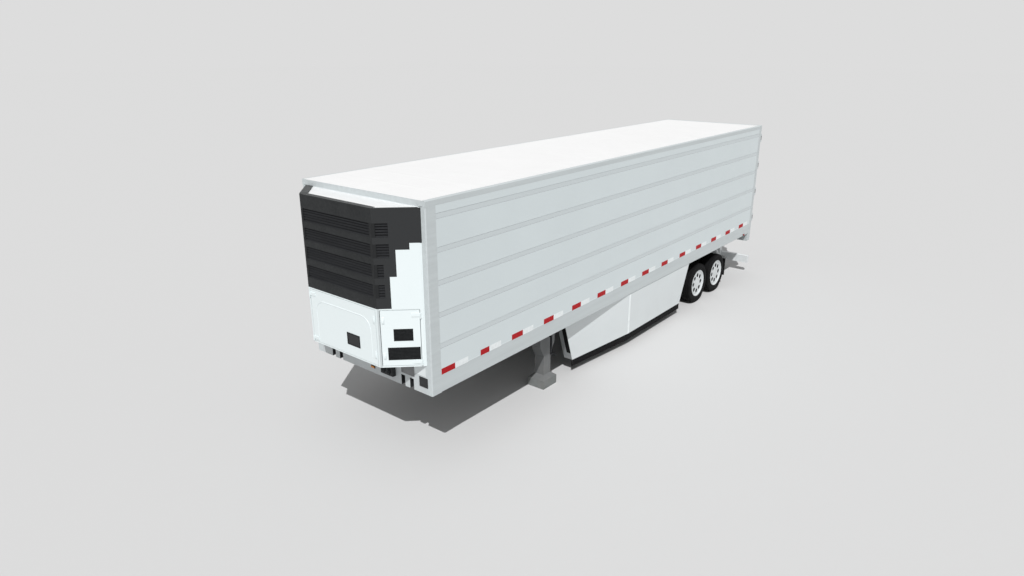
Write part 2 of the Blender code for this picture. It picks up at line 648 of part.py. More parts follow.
def rear_door(side, sign):
    """One rear door with its hinge straps, two lock rods and their guides."""
    outer = REAR_Y - DOOR_RECESS
    inner = outer - DOOR_THICKNESS
    low = FLOOR_TOP + DOOR_EDGE_GAP
    high = DOORWAY_TOP - DOOR_EDGE_GAP
    near, far = door_edges()
    parts = [box(f"rear_door_{side}", (sign * near, sign * far), (inner, outer), (low, high))]
    face = -DOOR_HINGE_REACH - DOOR_RECESS
    strap = knuckle_arc(270, 40, DOOR_HINGE_RADIUS)
    strap += [*STRAP_BEND, (STRAP_START, face + STRAP_THICKNESS),
              (STRAP_LENGTH, face + STRAP_THICKNESS), (STRAP_LENGTH, face - MESH_OVERLAP),
              (STRAP_HEEL[0][0], face - MESH_OVERLAP), *STRAP_HEEL]
    for height in hinge_heights():
        parts.append(prism("strap", hinge_outline(strap, sign), "Z",
                           height - DOOR_HINGE_HEIGHT / 2, height + DOOR_HINGE_HEIGHT / 2))
    rod_y = outer + LOCK_ROD_STANDOFF
    rod_low = FLOOR_TOP - KEEPER_HEIGHT
    rod_high = DOORWAY_TOP + KEEPER_HEIGHT
    handle_z = FLOOR_TOP + HANDLE_RISE
    for rod, run in zip(lock_rod_places(), (1, -1)):
        x = sign * rod
        parts.append(turned("rod", [(rod_low, LOCK_ROD_RADIUS), (rod_high, LOCK_ROD_RADIUS)],
                            (x, rod_y, 0), "Z", 8))
        for height in (low + GUIDE_MARGIN, (low + high) / 2, high - GUIDE_MARGIN):
            parts.append(box("guide", (x - GUIDE_SIZE / 2, x + GUIDE_SIZE / 2),
                             (outer - MESH_OVERLAP, rod_y + LOCK_ROD_RADIUS - MESH_OVERLAP),
                             (height - GUIDE_SIZE / 2, height + GUIDE_SIZE / 2)))
        parts.append(box("handle", (x, x + run * sign * HANDLE_LENGTH),
                         (rod_y - HANDLE_THICKNESS / 2, rod_y + HANDLE_THICKNESS / 2),
                         (handle_z - HANDLE_HEIGHT / 2, handle_z + HANDLE_HEIGHT / 2)))
    return paint(weld(f"rear_door_{side}", parts), WHITE)


def coupler():
    """Upper coupler plate with its kingpin, and its front edge turned up."""
    top = BELOW_CROSS
    low = top - COUPLER_THICKNESS
    start = station(FRONT_WALL_THICKNESS) + SEAT_GAP
    end = station(FRONT_WALL_THICKNESS + COUPLER_LENGTH)
    half = COUPLER_WIDTH / 2
    outline = [(start, top), (start, low + COUPLER_THICKNESS / 2), (start + COUPLER_RAMP, low),
               (end, low), (end, top)]
    plate = prism("coupler", outline, "X", -half, half)
    tip = low - KINGPIN_LENGTH
    profile = [(tip + rise * KINGPIN_LENGTH, KINGPIN_RADIUS * size) for rise, size in KINGPIN_STEPS]
    profile.append((low + MESH_OVERLAP, profile[-1][1]))
    pin = turned("kingpin", profile, (0, station(KINGPIN_STATION), 0), "Z", 16)
    return paint(weld("coupler", [plate, pin]), STEEL_GREY)


def landing_leg(side, sign):
    """Landing leg, lofted from its foot through the square leg to the wide head."""
    half, foot_x, foot_y = LEG_SIZE / 2, FOOT_WIDTH / 2, FOOT_LENGTH / 2
    top = BELOW_CROSS
    flare = top - LEG_HEAD_HEIGHT
    levels = [
        # height, half width across, half length along the trailer
        (0.0, foot_x, foot_y),
        (FOOT_HEIGHT, foot_x, foot_y),
        (FOOT_HEIGHT + FOOT_CHAMFER, half, half),
        (flare - LEG_FLARE_HEIGHT, half, half),
        (flare, half, LEG_HEAD_LENGTH / 2),
        (top, half, LEG_HEAD_LENGTH / 2),
    ]
    x, y = sign * LEG_OFFSET, station(LEG_STATION)
    sections = [[(x - a, y - b, z), (x + a, y - b, z), (x + a, y + b, z), (x - a, y + b, z)]
                for z, a, b in levels]
    return paint(loft(f"landing_leg_{side}", sections), STEEL_GREY)


def landing_brace():
    """Cross tube between the legs, with two struts up to the crossmembers."""
    y = station(nearest_crossmember(LEG_STATION))
    half = BRACE_SIZE / 2
    reach = LEG_OFFSET - LEG_SIZE / 2 - SEAT_GAP
    tube = box("landing_brace", (-reach, reach), (y - half, y + half),
               (BRACE_HEIGHT - half, BRACE_HEIGHT + half))
    parts = [tube]
    for sign in (1, -1):
        outline = [(sign * (reach - inward), BRACE_HEIGHT - half / 2) for inward in BRACE_STRUT_FOOT]
        outline += [(sign * (reach - inward), BELOW_CROSS) for inward in BRACE_STRUT_HEAD[::-1]]
        parts.append(prism("strut", outline, "Y", y - half / 2, y + half / 2))
    return paint(weld("landing_brace", parts), STEEL_GREY)


def landing_crank():
    """Crank that winds the legs, folded down beside the street-side leg."""
    y = station(LEG_STATION)
    face = LEG_OFFSET + LEG_SIZE / 2 + SEAT_GAP
    shaft_z = BELOW_CROSS - LEG_HEAD_HEIGHT / 2
    end = face + CRANK_REACH
    inner = end - CRANK_ARM_THICKNESS
    shaft = turned("landing_crank", [(face, CRANK_RADIUS), (end, CRANK_RADIUS)],
                   (0, y, shaft_z), "X", 10)
    arm = box("arm", (inner, end), (y - CRANK_RADIUS, y + CRANK_RADIUS),
              (shaft_z - CRANK_DROP, shaft_z + CRANK_RADIUS))
    grip_z = shaft_z - CRANK_DROP + CRANK_RADIUS
    grip = turned("grip", [(inner + MESH_OVERLAP, CRANK_GRIP_RADIUS),
                           (face + CRANK_GRIP_REACH, CRANK_GRIP_RADIUS)], (0, y, grip_z), "X", 8)
    return paint(weld("landing_crank", [shaft, arm, grip]), STEEL_GREY)


def slider_frame():
    """Two rails under the crossmembers, tied across, with arm hangers and flap brackets."""
    top, low = BELOW_CROSS, BELOW_CROSS - SLIDER_HEIGHT
    end = REAR_Y - SILL_DEPTH - SEAT_GAP
    half = SLIDER_WIDTH / 2
    parts = []
    for sign in (1, -1):
        x = sign * SLIDER_OFFSET
        parts.append(box("rail", (x - half, x + half), (station(SLIDER_START), end), (low, top)))
    ties = [SLIDER_START + TIE_LEAD]
    for place in AXLE_STATIONS:
        ties += [place - HANGER_LEAD, place + AIR_SPRING_LAG]
    reach = SLIDER_OFFSET - half + MESH_OVERLAP
    for place in ties:
        y = station(place)
        parts.append(box("tie", (-reach, reach), (y - TIE_WIDTH / 2, y + TIE_WIDTH / 2),
                         (low + TIE_INSET, top - TIE_INSET)))
    cheek_gap = ARM_WIDTH / 2 + HANGER_PLAY
    foot = HANGER_FOOT + HANGER_ROUND
    for place in AXLE_STATIONS:
        y = station(place - HANGER_LEAD)
        outline = [(y - HANGER_LENGTH, low + MESH_OVERLAP), (y - HANGER_LENGTH / 2, foot),
                   (y - HANGER_LENGTH / 4, HANGER_FOOT), (y + HANGER_LENGTH / 4, HANGER_FOOT),
                   (y + HANGER_LENGTH / 2, foot), (y + HANGER_LENGTH / 2, low + MESH_OVERLAP)]
        for sign in (1, -1):
            for inner in (cheek_gap, -cheek_gap - HANGER_CHEEK):
                x = sign * SLIDER_OFFSET + inner
                parts.append(prism("cheek", outline, "X", x, x + HANGER_CHEEK))
    bar_y = (station(FLAP_STATION) - FLAP_BAR_SIZE - SEAT_GAP, station(FLAP_STATION) - SEAT_GAP)
    bar_z = (FLAP_TOP - FLAP_BAR_SIZE, FLAP_TOP)
    for sign in (1, -1):
        x = sign * SLIDER_OFFSET
        parts.append(box("flap_bar", (x - sign * FLAP_BAR_LAP, sign * (HALF_WIDTH - FLAP_SETBACK)),
                         bar_y, bar_z))
        parts.append(box("flap_drop", (x - FLAP_BAR_SIZE / 2, x + FLAP_BAR_SIZE / 2), bar_y,
                         (bar_z[0] + MESH_OVERLAP, low + MESH_OVERLAP)))
    return paint(weld("slider_frame", parts), STEEL_GREY)


def axle(number, place):
    """Axle tube with spindles, trailing arms and brake chambers."""
    y, z = station(place), WHEEL_RADIUS
    spindle_end = DUAL_CENTRE + HUB_REACH - HUB_BORE_DEPTH - SPINDLE_END_GAP
    tube_end = DRUM_INNER_END - AXLE_DRUM_GAP
    profile = [(-spindle_end, SPINDLE_RADIUS), (-tube_end, SPINDLE_RADIUS), (-tube_end, AXLE_RADIUS),
               (tube_end, AXLE_RADIUS), (tube_end, SPINDLE_RADIUS), (spindle_end, SPINDLE_RADIUS)]
    parts = [turned("tube", profile, (0, y, z), "X", WHEEL_SEGMENTS // 2)]
    front = station(place - HANGER_LEAD)
    back = station(place + AIR_SPRING_LAG)
    eye_z = ARM_TOP - 2 * ARM_EYE
    neck = front + ARM_EYE * 2 / 3
    arm = [(front - ARM_EYE, eye_z - ARM_EYE_FLAT), (front - ARM_EYE_FLAT, eye_z - ARM_EYE),
           (neck, eye_z - ARM_EYE), (y, z - ARM_EYE_FLAT),
           (back + ARM_TAIL, ARM_TOP - ARM_TAIL_HEIGHT), (back + ARM_TAIL, ARM_TOP),
           (back - ARM_SEAT, ARM_TOP), (y, ARM_TOP), (neck, eye_z + ARM_EYE),
           (front - ARM_EYE_FLAT, eye_z + ARM_EYE), (front - ARM_EYE, eye_z + ARM_EYE_FLAT)]
    half = BRAKE_BRACKET / 2
    for sign in (1, -1):
        x = sign * SLIDER_OFFSET
        parts.append(prism("arm", arm, "X", x - ARM_WIDTH / 2, x + ARM_WIDTH / 2))
        chamber_x = sign * (SLIDER_OFFSET - BRAKE_CHAMBER_INSET)
        chamber_z = z + BRAKE_CHAMBER_RISE
        chamber_y = y + AXLE_RADIUS + BRAKE_CHAMBER_GAP
        end = chamber_y + BRAKE_CHAMBER_LENGTH
        neck_radius = BRAKE_CHAMBER_RADIUS * BRAKE_CHAMBER_END_SHARE
        chamber = [(chamber_y, neck_radius), (chamber_y + BRAKE_CHAMBER_ROUND, BRAKE_CHAMBER_RADIUS),
                   (end - BRAKE_CHAMBER_ROUND, BRAKE_CHAMBER_RADIUS), (end, neck_radius)]
        parts.append(turned("chamber", chamber, (chamber_x, 0, chamber_z), "Y", 10))
        parts.append(box("bracket", (chamber_x - half, chamber_x + half), (y, chamber_y + half),
                         (chamber_z - half - BRAKE_CHAMBER_ROUND, chamber_z + half - BRAKE_CHAMBER_ROUND)))
    return paint(weld(f"axle_{number}", parts), STEEL_GREY)


def air_spring(number, place, side, sign):
    """Air spring: a two-lobed bellows on a piston, between arm and rail."""
    low = ARM_TOP + SEAT_GAP
    high = BELOW_CROSS - SLIDER_HEIGHT - SEAT_GAP
    profile = [(low + rise * (high - low), size * AIR_SPRING_RADIUS) for rise, size in AIR_SPRING_STEPS]
    centre = (sign * SLIDER_OFFSET, station(place + AIR_SPRING_LAG), 0)
    spring = turned(f"air_spring_{number}_{side}", profile, centre, "Z", 14)
    return paint(spring, RUBBER, 40)


def wheel_cover(y, sign):
    """Pressed cover across the outer rim, with its ring of hand holes."""
    face = DUAL_CENTRE + (DUAL_SPACING + RIM_WIDTH) / 2 - COVER_RECESS
    edge = RIM_SEAT_RADIUS - RIM_WALL + MESH_OVERLAP
    profile = [(sign * (face - COVER_THICKNESS), edge), (sign * face, edge)]
    cover = turned("cover", profile, (0, y, WHEEL_RADIUS), "X", WHEEL_SEGMENTS)
    cutter = [(sign * (face - 2 * COVER_THICKNESS), COVER_HOLE_RADIUS),
              (sign * (face + COVER_THICKNESS), COVER_HOLE_RADIUS)]
    holes = []
    for k in range(COVER_HOLE_COUNT):
        angle = k * 2 * math.pi / COVER_HOLE_COUNT
        spot = (0, y + COVER_HOLE_CIRCLE * math.cos(angle),
                WHEEL_RADIUS + COVER_HOLE_CIRCLE * math.sin(angle))
        holes.append(turned("hole", cutter, spot, "X", 6))
    return cut(cover, [gather(holes)])


def wheel_pair(number, place, side, sign):
    """Both rims, hub, drum and cover of one twin-wheel station, turned as one."""
    middle = DUAL_CENTRE
    outer, inner = middle + DUAL_SPACING / 2, middle - DUAL_SPACING / 2
    half = RIM_WIDTH / 2
    seat, flange = RIM_SEAT_RADIUS, RIM_FLANGE_RADIUS
    barrel = seat - RIM_WALL
    bore = SPINDLE_RADIUS + RUN_GAP
    cap, disc = middle + HUB_REACH, middle + DISC_HALF_THICKNESS
    bore_end = cap - HUB_BORE_DEPTH
    profile = [
        # place across the trailer, radius: from the hub cap out round both rims to the bore
        (cap, 0), (cap, HUB_CAP_RADIUS), (disc, HUB_RADIUS), (disc, DISC_RADIUS),
        (outer - half + RIM_TAPER, barrel - RIM_TAPER), (outer + half - RIM_TAPER, barrel),
        (outer + half, flange), (outer + half - RIM_LIP, seat),
        (outer - half + RIM_LIP, seat), (outer - half, flange),
        (middle, DISC_RADIUS + DISC_HALF_THICKNESS / 2), (inner + half, flange),
        (inner + half - RIM_LIP, seat), (inner - half + RIM_LIP, seat), (inner - half, flange),
        (inner - half + RIM_TAPER, barrel), (inner + half - RIM_TAPER, barrel - RIM_TAPER),
        (middle - DISC_HALF_THICKNESS, DRUM_RADIUS), (DRUM_INNER_END, DRUM_RADIUS),
        (DRUM_INNER_END, bore), (bore_end, bore), (bore_end, 0),
    ]
    y = station(place)
    profile = [(sign * x, radius) for x, radius in profile]
    wheel = turned(f"wheel_{number}_{side}", profile, (0, y, WHEEL_RADIUS), "X", WHEEL_SEGMENTS)
    return paint(weld(f"wheel_{number}_{side}", [wheel, wheel_cover(y, sign)]), UNIT_WHITE, 35)


def tyre(number, place, side, sign, row):
    """Road tyre seated on its rim."""
    half = TYRE_WIDTH / 2
    centre = DUAL_CENTRE + DUAL_SPACING / 2 * (1 if row == "outer" else -1)
    bead, bead_half = RIM_SEAT_RADIUS + RUN_GAP / 2, RIM_WIDTH / 2 - TYRE_SHOULDER / 2
    tread = WHEEL_RADIUS / math.cos(math.pi / WHEEL_SEGMENTS)
    profile = [(bead_half, bead), (half, bead + TYRE_BEAD_RISE),
               (half - TYRE_SHOULDER / 4, tread - TYRE_SHOULDER), (half - TYRE_SHOULDER, tread)]
    profile += [(-x, radius) for x, radius in reversed(profile)]
    profile = [(sign * centre + x, radius) for x, radius in profile]
    ring = turned(f"tyre_{number}_{side}_{row}", profile, (0, station(place), WHEEL_RADIUS), "X",
                  WHEEL_SEGMENTS, ring=True)
    return paint(ring, RUBBER, 35)


def skirt_x(distance):
    """Outer face of the skirt: flush behind the joint, tapering inwards ahead of it."""
    return HALF_WIDTH - SKIRT_SETBACK - SKIRT_TAPER * max(0.0, SKIRT_JOINT - distance)


def skirt_outline(part):
    """Corners (station, height) of one skirt panel."""
    top = RAIL_UNDERSIDE - SEAT_GAP
    joint = SKIRT_JOINT + (SKIRT_SEAM / 2 if part == "rear" else -SKIRT_SEAM / 2)
    end = 1 if part == "rear" else 0
    return [(SKIRT_TOP_ENDS[end], top), (joint, top), (joint, SKIRT_BOTTOM),
            (SKIRT_BOTTOM_ENDS[end], SKIRT_BOTTOM)]


def skirt_return(sign):
    """Folded return across the raked front edge of the front panel."""
    (top_at, high), _, _, (low_at, low) = skirt_outline("front")
    faces = []
    for depth in (0, SKIRT_THICKNESS):
        corners = [(top_at, high, RETURN_SETBACK), (low_at, low, RETURN_SETBACK),
                   (low_at, low, SKIRT_RETURN), (top_at, high, SKIRT_RETURN)]
        faces.append([(sign * (skirt_x(at) - inward), station(at) + depth, z)
                      for at, z, inward in corners])
    return loft("return", faces)


def skirt_panel(part, side, sign):
    """Skirt panel with its struts, and a folded return at the front of the front panel."""
    faces = [[(sign * (skirt_x(distance) - depth), station(distance), z)
              for distance, z in skirt_outline(part)] for depth in (0, SKIRT_THICKNESS)]
    parts = [loft(f"skirt_{part}_{side}", faces)]
    for wanted in STRUT_STATIONS[part]:
        place = nearest_crossmember(wanted)
        x = skirt_x(place) - SKIRT_THICKNESS
        outline = [(x + MESH_OVERLAP, SKIRT_BOTTOM + rise) for rise in STRUT_FOOT]
        outline += [(x - inward, BELOW_CROSS) for inward in STRUT_HEAD]
        outline = [(sign * a, b) for a, b in outline]
        y = station(place)
        parts.append(prism("strut", outline, "Y", y - STRUT_WIDTH / 2, y + STRUT_WIDTH / 2))
    if part == "front":
        parts.append(skirt_return(sign))
    return paint(weld(f"skirt_{part}_{side}", parts), WHITE)


def skirt_strip(side, sign):
    """Rubber strip hung under both skirt panels of one side."""
    top = SKIRT_BOTTOM - SEAT_GAP
    front, back = SKIRT_BOTTOM_ENDS
    rows = []
    for depth in (STRIP_SETBACK, STRIP_SETBACK + STRIP_THICKNESS):
        rows.append([(sign * (skirt_x(at) - depth), station(at)) for at in (front, SKIRT_JOINT, back)])
    outline = rows[0] + rows[1][::-1]
    return paint(prism(f"skirt_strip_{side}", outline, "Z", top - STRIP_HEIGHT, top), RUBBER)


def mudflap(side, sign):
    outer = HALF_WIDTH - FLAP_SETBACK
    flap = box(f"mudflap_{side}", (sign * (outer - FLAP_WIDTH), sign * outer),
               (station(FLAP_STATION), station(FLAP_STATION) + FLAP_THICKNESS), (FLAP_BOTTOM, FLAP_TOP))
    return paint(flap, RUBBER)


def underride_guard():
    """Guard bar on two uprights, each braced forward to a slider rail."""
    low, high = GUARD_BOTTOM, GUARD_BOTTOM + GUARD_HEIGHT
    front, back = REAR_Y, REAR_Y + GUARD_REACH
    parts = [box("underride_guard", (-HALF_WIDTH, HALF_WIDTH), (front, back), (low, high))]
    sill = RAIL_UNDERSIDE - SILL_DROP - SEAT_GAP
    rail = BELOW_CROSS - SLIDER_HEIGHT - SEAT_GAP
    half = GUARD_UPRIGHT_WIDTH / 2
    foot = front - GUARD_UPRIGHT_LAP / 2
    for sign in (1, -1):
        x = sign * SLIDER_OFFSET
        toe, heel = front - GUARD_UPRIGHT_LAP, front - GUARD_UPRIGHT_LAP + GUARD_UPRIGHT_DEPTH
        upright = [(toe, low + GUARD_UPRIGHT_LAP), (heel, low + GUARD_UPRIGHT_LAP), (heel, high),
                   (REAR_Y - GUARD_UPRIGHT_LAP / 2, sill),
                   (REAR_Y - SILL_DEPTH + GUARD_UPRIGHT_LAP / 2, sill)]
        parts.append(prism("upright", upright, "X", x - half, x + half))
        brace = [(foot, low + rise) for rise in GUARD_BRACE_FOOT]
        brace += [(foot - GUARD_BRACE_RUN + GUARD_BRACE_HEAD, rail), (foot - GUARD_BRACE_RUN, rail)]
        parts.append(prism("brace", brace, "X", x - GUARD_BRACE_WIDTH / 2, x + GUARD_BRACE_WIDTH / 2))
    return paint(weld("underride_guard", parts), WHITE)


def tail_lamps():
    """Lamp strip on the sill with three round lamps on each side."""
    centre = RAIL_UNDERSIDE - SILL_DROP / 2
    half = LAMP_STRIP_HEIGHT / 2
    reach = HALF_WIDTH - min(LAMP_SETBACKS) + LAMP_STRIP_MARGIN
    face = REAR_Y + SEAT_GAP
    back = face + LAMP_STRIP_THICKNESS
    parts = [box("tail_lamps", (-reach, reach), (face, back), (centre - half, centre + half))]
    for sign in (1, -1):
        for setback in LAMP_SETBACKS:
            profile = [(back - MESH_OVERLAP, LAMP_RADIUS), (face + LAMP_REACH, LAMP_RADIUS * LAMP_END_SHARE)]
            parts.append(turned("lamp", profile, (sign * (HALF_WIDTH - setback), 0, centre), "Y", 12))
    return paint(weld("tail_lamps", parts), LAMP_RED)


def fuel_tank():
    """Cooling unit's fuel tank, slung across the trailer from two hanger plates."""
    z = BELOW_CROSS - TANK_DROP - TANK_RADIUS
    y = station(TANK_STATION)
    half = TANK_LENGTH / 2
    end = TANK_RADIUS * TANK_END_SHARE
    profile = [(-half, end), (TANK_END - half, TANK_RADIUS), (half - TANK_END, TANK_RADIUS), (half, end)]
    parts = [turned("fuel_tank", profile, (0, y, z), "X", 16)]
    reach = (CROSSMEMBER_PITCH + CROSSMEMBER_FLANGE) / 2
    foot, rise = TANK_HANGER_FOOT
    edge = BELOW_CROSS - TANK_HANGER_EDGE
    for sign in (1, -1):
        x = sign * (half - TANK_HANGER_INSET)
        outline = [(y - reach, BELOW_CROSS), (y - reach, edge), (y - foot, z + rise),
                   (y + foot, z + rise), (y + reach, edge), (y + reach, BELOW_CROSS)]
        parts.append(prism("hanger", outline, "X", x - TANK_HANGER_THICKNESS / 2,
                           x + TANK_HANGER_THICKNESS / 2))
    return paint(weld("fuel_tank", parts), ALUMINIUM)


def chamfer_slope():
    return (UNIT_BACK_HALF - UNIT_FRONT_HALF) / UNIT_DEPTH


def chamfer_x(ahead, inset=0.0):
    """Half width of the cooling unit this far ahead of the nose wall, inset from its skin."""
    slope = chamfer_slope()
    return UNIT_BACK_HALF - slope * ahead - inset * math.hypot(1, slope)


def unit_plan(inset, back=SEAT_GAP):
    """Plan of the cooling unit, inset from its front and corner faces."""
    front = UNIT_DEPTH - inset
    outline = [(chamfer_x(back, inset), back), (chamfer_x(front, inset), front)]
    outline += [(-x, ahead) for x, ahead in reversed(outline)]
    return [(x, station(-ahead)) for x, ahead in outline]


def corner_length():
    return math.hypot(UNIT_DEPTH, UNIT_BACK_HALF - UNIT_FRONT_HALF)


def corner_end():
    """Where a plate on the corner face stops, so that its inner edge stays off the nose wall."""
    return corner_length() - chamfer_slope() * UNIT_PANEL - 2 * SEAT_GAP


def on_corner(along, out=0.0):
    """Plan point on the street-side corner face, this far from its front edge and out of it."""
    length = corner_length()
    run = Vector(((UNIT_BACK_HALF - UNIT_FRONT_HALF) / length, UNIT_DEPTH / length))
    normal = Vector((run.y, -run.x))
    start = Vector((UNIT_FRONT_HALF, station(-UNIT_DEPTH)))
    return start + run * along + normal * out


def corner_plate(name, sign, outline, outer=0.0, inner=-UNIT_PANEL):
    """Plate on a corner face, from an outline of (along the face, height)."""
    sections = []
    for out in (outer, inner):
        spots = [(on_corner(along, out), z) for along, z in outline]
        sections.append([(sign * spot.x, spot.y, z) for spot, z in spots])
    return loft(name, sections)


def corner_steps():
    """Stepped line between the dark cowl and the white corner, from front to back."""
    length = corner_length()
    ends = [share for share, _ in COWL_STEPS[1:]] + [1.0]
    line = []
    for (share, rise), end in zip(COWL_STEPS, ends):
        height = UNIT_SPLIT + rise * (UNIT_TOP - UNIT_SPLIT)
        line += [(share * length, height), (end * length, height)]
    return line


def unit_frame():
    """The unit's fixed frame: back, bottom pan, deck, top, front corner posts, white corners."""
    lap = MESH_OVERLAP / 2
    back = [(chamfer_x(ahead, MESH_OVERLAP), ahead) for ahead in (SEAT_GAP, UNIT_PANEL)]
    back += [(-x, ahead) for x, ahead in reversed(back)]
    back = [(x, station(-ahead)) for x, ahead in back]
    parts = [prism("unit_frame", back, "Z", UNIT_BOTTOM + lap, UNIT_TOP - lap)]
    decks = ((UNIT_BOTTOM, lap), (UNIT_SPLIT, lap), (UNIT_TOP - UNIT_DECK, UNIT_PANEL + SEAT_GAP))
    for low, inset in decks:
        parts.append(prism("deck", unit_plan(inset, UNIT_PANEL / 2), "Z", low, low + UNIT_DECK))
    end = corner_end()
    front = station(-UNIT_DEPTH)
    lip = on_corner(UNIT_POST)
    lip_in = on_corner(UNIT_POST, -UNIT_PANEL)
    post = [(UNIT_FRONT_HALF - UNIT_POST, front), (UNIT_FRONT_HALF, front), (lip.x, lip.y),
            (lip_in.x, lip_in.y), (UNIT_FRONT_HALF - UNIT_POST, front + UNIT_PANEL)]
    line = corner_steps()
    seam = UNIT_SPLIT + UNIT_DECK / 2
    strip = side_hinge_along() + MESH_OVERLAP / 2
    white = [(line[0][0], seam)] + [(min(along, end), z) for along, z in line]
    foot = UNIT_BOTTOM + MESH_OVERLAP
    white += [(end, foot), (strip, foot), (strip, seam)]
    for _, sign in SIDES:
        outline = [(sign * x, y) for x, y in post]
        parts.append(prism("post", outline, "Z", UNIT_BOTTOM + UNIT_DECK / 2, UNIT_SPLIT + UNIT_DECK / 2))
        parts.append(corner_plate("white_corner", sign, white))
    parts.append(unit_lugs())
    return paint(weld("unit_frame", parts), UNIT_WHITE)


def unit_hinges():
    """Heights of the service doors' hinges."""
    return (UNIT_BOTTOM + UNIT_HINGE_MARGIN, UNIT_SPLIT - UNIT_HINGE_MARGIN)


def front_hinge():
    """Plan place of the front door's pin, on the curb side."""
    edge = UNIT_FRONT_HALF - UNIT_POST - UNIT_DOOR_GAP / 4
    return -edge, station(-UNIT_DEPTH) - UNIT_HINGE_RADIUS


def side_hinge_along():
    """Place of a side door's pin along the corner face."""
    return corner_length() - UNIT_FLANGE


def lug_outline():
    """Fixed knuckle and its foot, as (away from the door, out of the face) from the pin."""
    radius, edge = UNIT_HINGE_RADIUS, LEAF_EDGE
    return [(edge, -radius - MESH_OVERLAP), (2 * radius, -radius - MESH_OVERLAP),
            (2 * radius, -radius / 2), *knuckle_arc(0, 225, radius, 5), (edge, -radius)]


def unit_lugs():
    """Fixed hinge knuckles of the service doors, one under each moving knuckle."""
    lugs = []
    radius = UNIT_HINGE_RADIUS
    for height in unit_hinges():
        high = height - UNIT_HINGE_HEIGHT / 2 - KNUCKLE_GAP
        low = high - UNIT_HINGE_HEIGHT / 2
        x, y = front_hinge()
        outline = [(x - away, y - out) for away, out in lug_outline()]
        lugs.append(prism("lug", outline, "Z", low, high))
        for _, sign in SIDES:
            spots = [on_corner(side_hinge_along() + away, out + radius) for away, out in lug_outline()]
            outline = [(sign * spot.x, spot.y) for spot in spots]
            lugs.append(prism("lug", outline, "Z", low, high))
    return gather(lugs)


def grille_heights():
    """Lower and upper edges of the grille openings, from the lowest up."""
    first = UNIT_SPLIT + GRILLE_FIRST
    room = UNIT_TOP - GRILLE_LAST - first
    opening = (room - (GRILLE_COUNT - 1) * GRILLE_GAP) / GRILLE_COUNT
    lows = [first + i * (opening + GRILLE_GAP) for i in range(GRILLE_COUNT)]
    return [(low, low + opening) for low in lows]


def unit_cowl():
    """Dark upper cowl: a bent panel with grille openings, cut to the stepped line."""
    low = UNIT_SPLIT + UNIT_DECK + SEAT_GAP
    back = UNIT_PANEL + SEAT_GAP
    outer = [(chamfer_x(back), back), (UNIT_FRONT_HALF, UNIT_DEPTH)]
    inner = [(chamfer_x(ahead, UNIT_PANEL), ahead) for ahead in (back, UNIT_DEPTH - UNIT_PANEL)]
    outline = outer + [(-x, ahead) for x, ahead in outer[::-1]]
    outline += [(-x, ahead) for x, ahead in inner] + inner[::-1]
    outline = [(x, station(-ahead)) for x, ahead in outline]
    cowl = prism("unit_cowl", outline, "Z", low, UNIT_TOP)
    line = corner_steps()
    length = corner_length()
    clear = UNIT_PANEL / 2
    zone = [(line[0][0] - SEAT_GAP, low - MESH_OVERLAP)]
    for at, z in line:
        zone.append((at - SEAT_GAP if at < length else length + clear, z + SEAT_GAP))
    zone.append((length + clear, low - MESH_OVERLAP))
    cutters = []
    for _, sign in SIDES:
        cutters.append(corner_plate("zone", sign, zone, clear, -UNIT_PANEL - clear))
        for (bottom, top), share in zip(grille_heights(), GRILLE_CORNER_SHARES):
            near, far = GRILLE_EDGE, share * length
            opening = [(near, bottom), (far, bottom), (far, top), (near, top)]
            cutters.append(corner_plate("opening", sign, opening, clear, -UNIT_PANEL - clear))
    front = station(-UNIT_DEPTH)
    half = UNIT_FRONT_HALF - GRILLE_EDGE
    for heights in grille_heights():
        cutters.append(box("opening", (-half, half), (front - clear, front + UNIT_PANEL + clear), heights))
    return paint(cut(cowl, [gather(cutters)]), UNIT_DARK)


def unit_door_heights():
    return UNIT_BOTTOM + UNIT_DECK + UNIT_DOOR_SLIT, UNIT_SPLIT - UNIT_DOOR_SLIT


def unit_front_door():
    """White service door across the unit's front, with hinge knuckles at its curb edge."""
    low, high = unit_door_heights()
    x, y = front_hinge()
    radius = UNIT_HINGE_RADIUS
    front = station(-UNIT_DEPTH)
    far = UNIT_FRONT_HALF - UNIT_POST - UNIT_DOOR_GAP
    near = x + UNIT_DOOR_SLIT
    parts = [box("unit_front_door", (near, far), (front, front + UNIT_PANEL), (low, high))]
    for height in unit_hinges():
        bottom, top = height - UNIT_HINGE_HEIGHT / 2, height + UNIT_HINGE_HEIGHT / 2
        parts.append(turned("knuckle", [(bottom, radius), (top, radius)], (x, y, 0), "Z", 8))
        parts.append(box("leaf", (x + LEAF_EDGE, x + UNIT_HINGE_LEAF),
                         (front - UNIT_LEAF_THICKNESS, front + MESH_OVERLAP), (bottom, top)))
    return paint(weld("unit_front_door", parts), UNIT_WHITE)


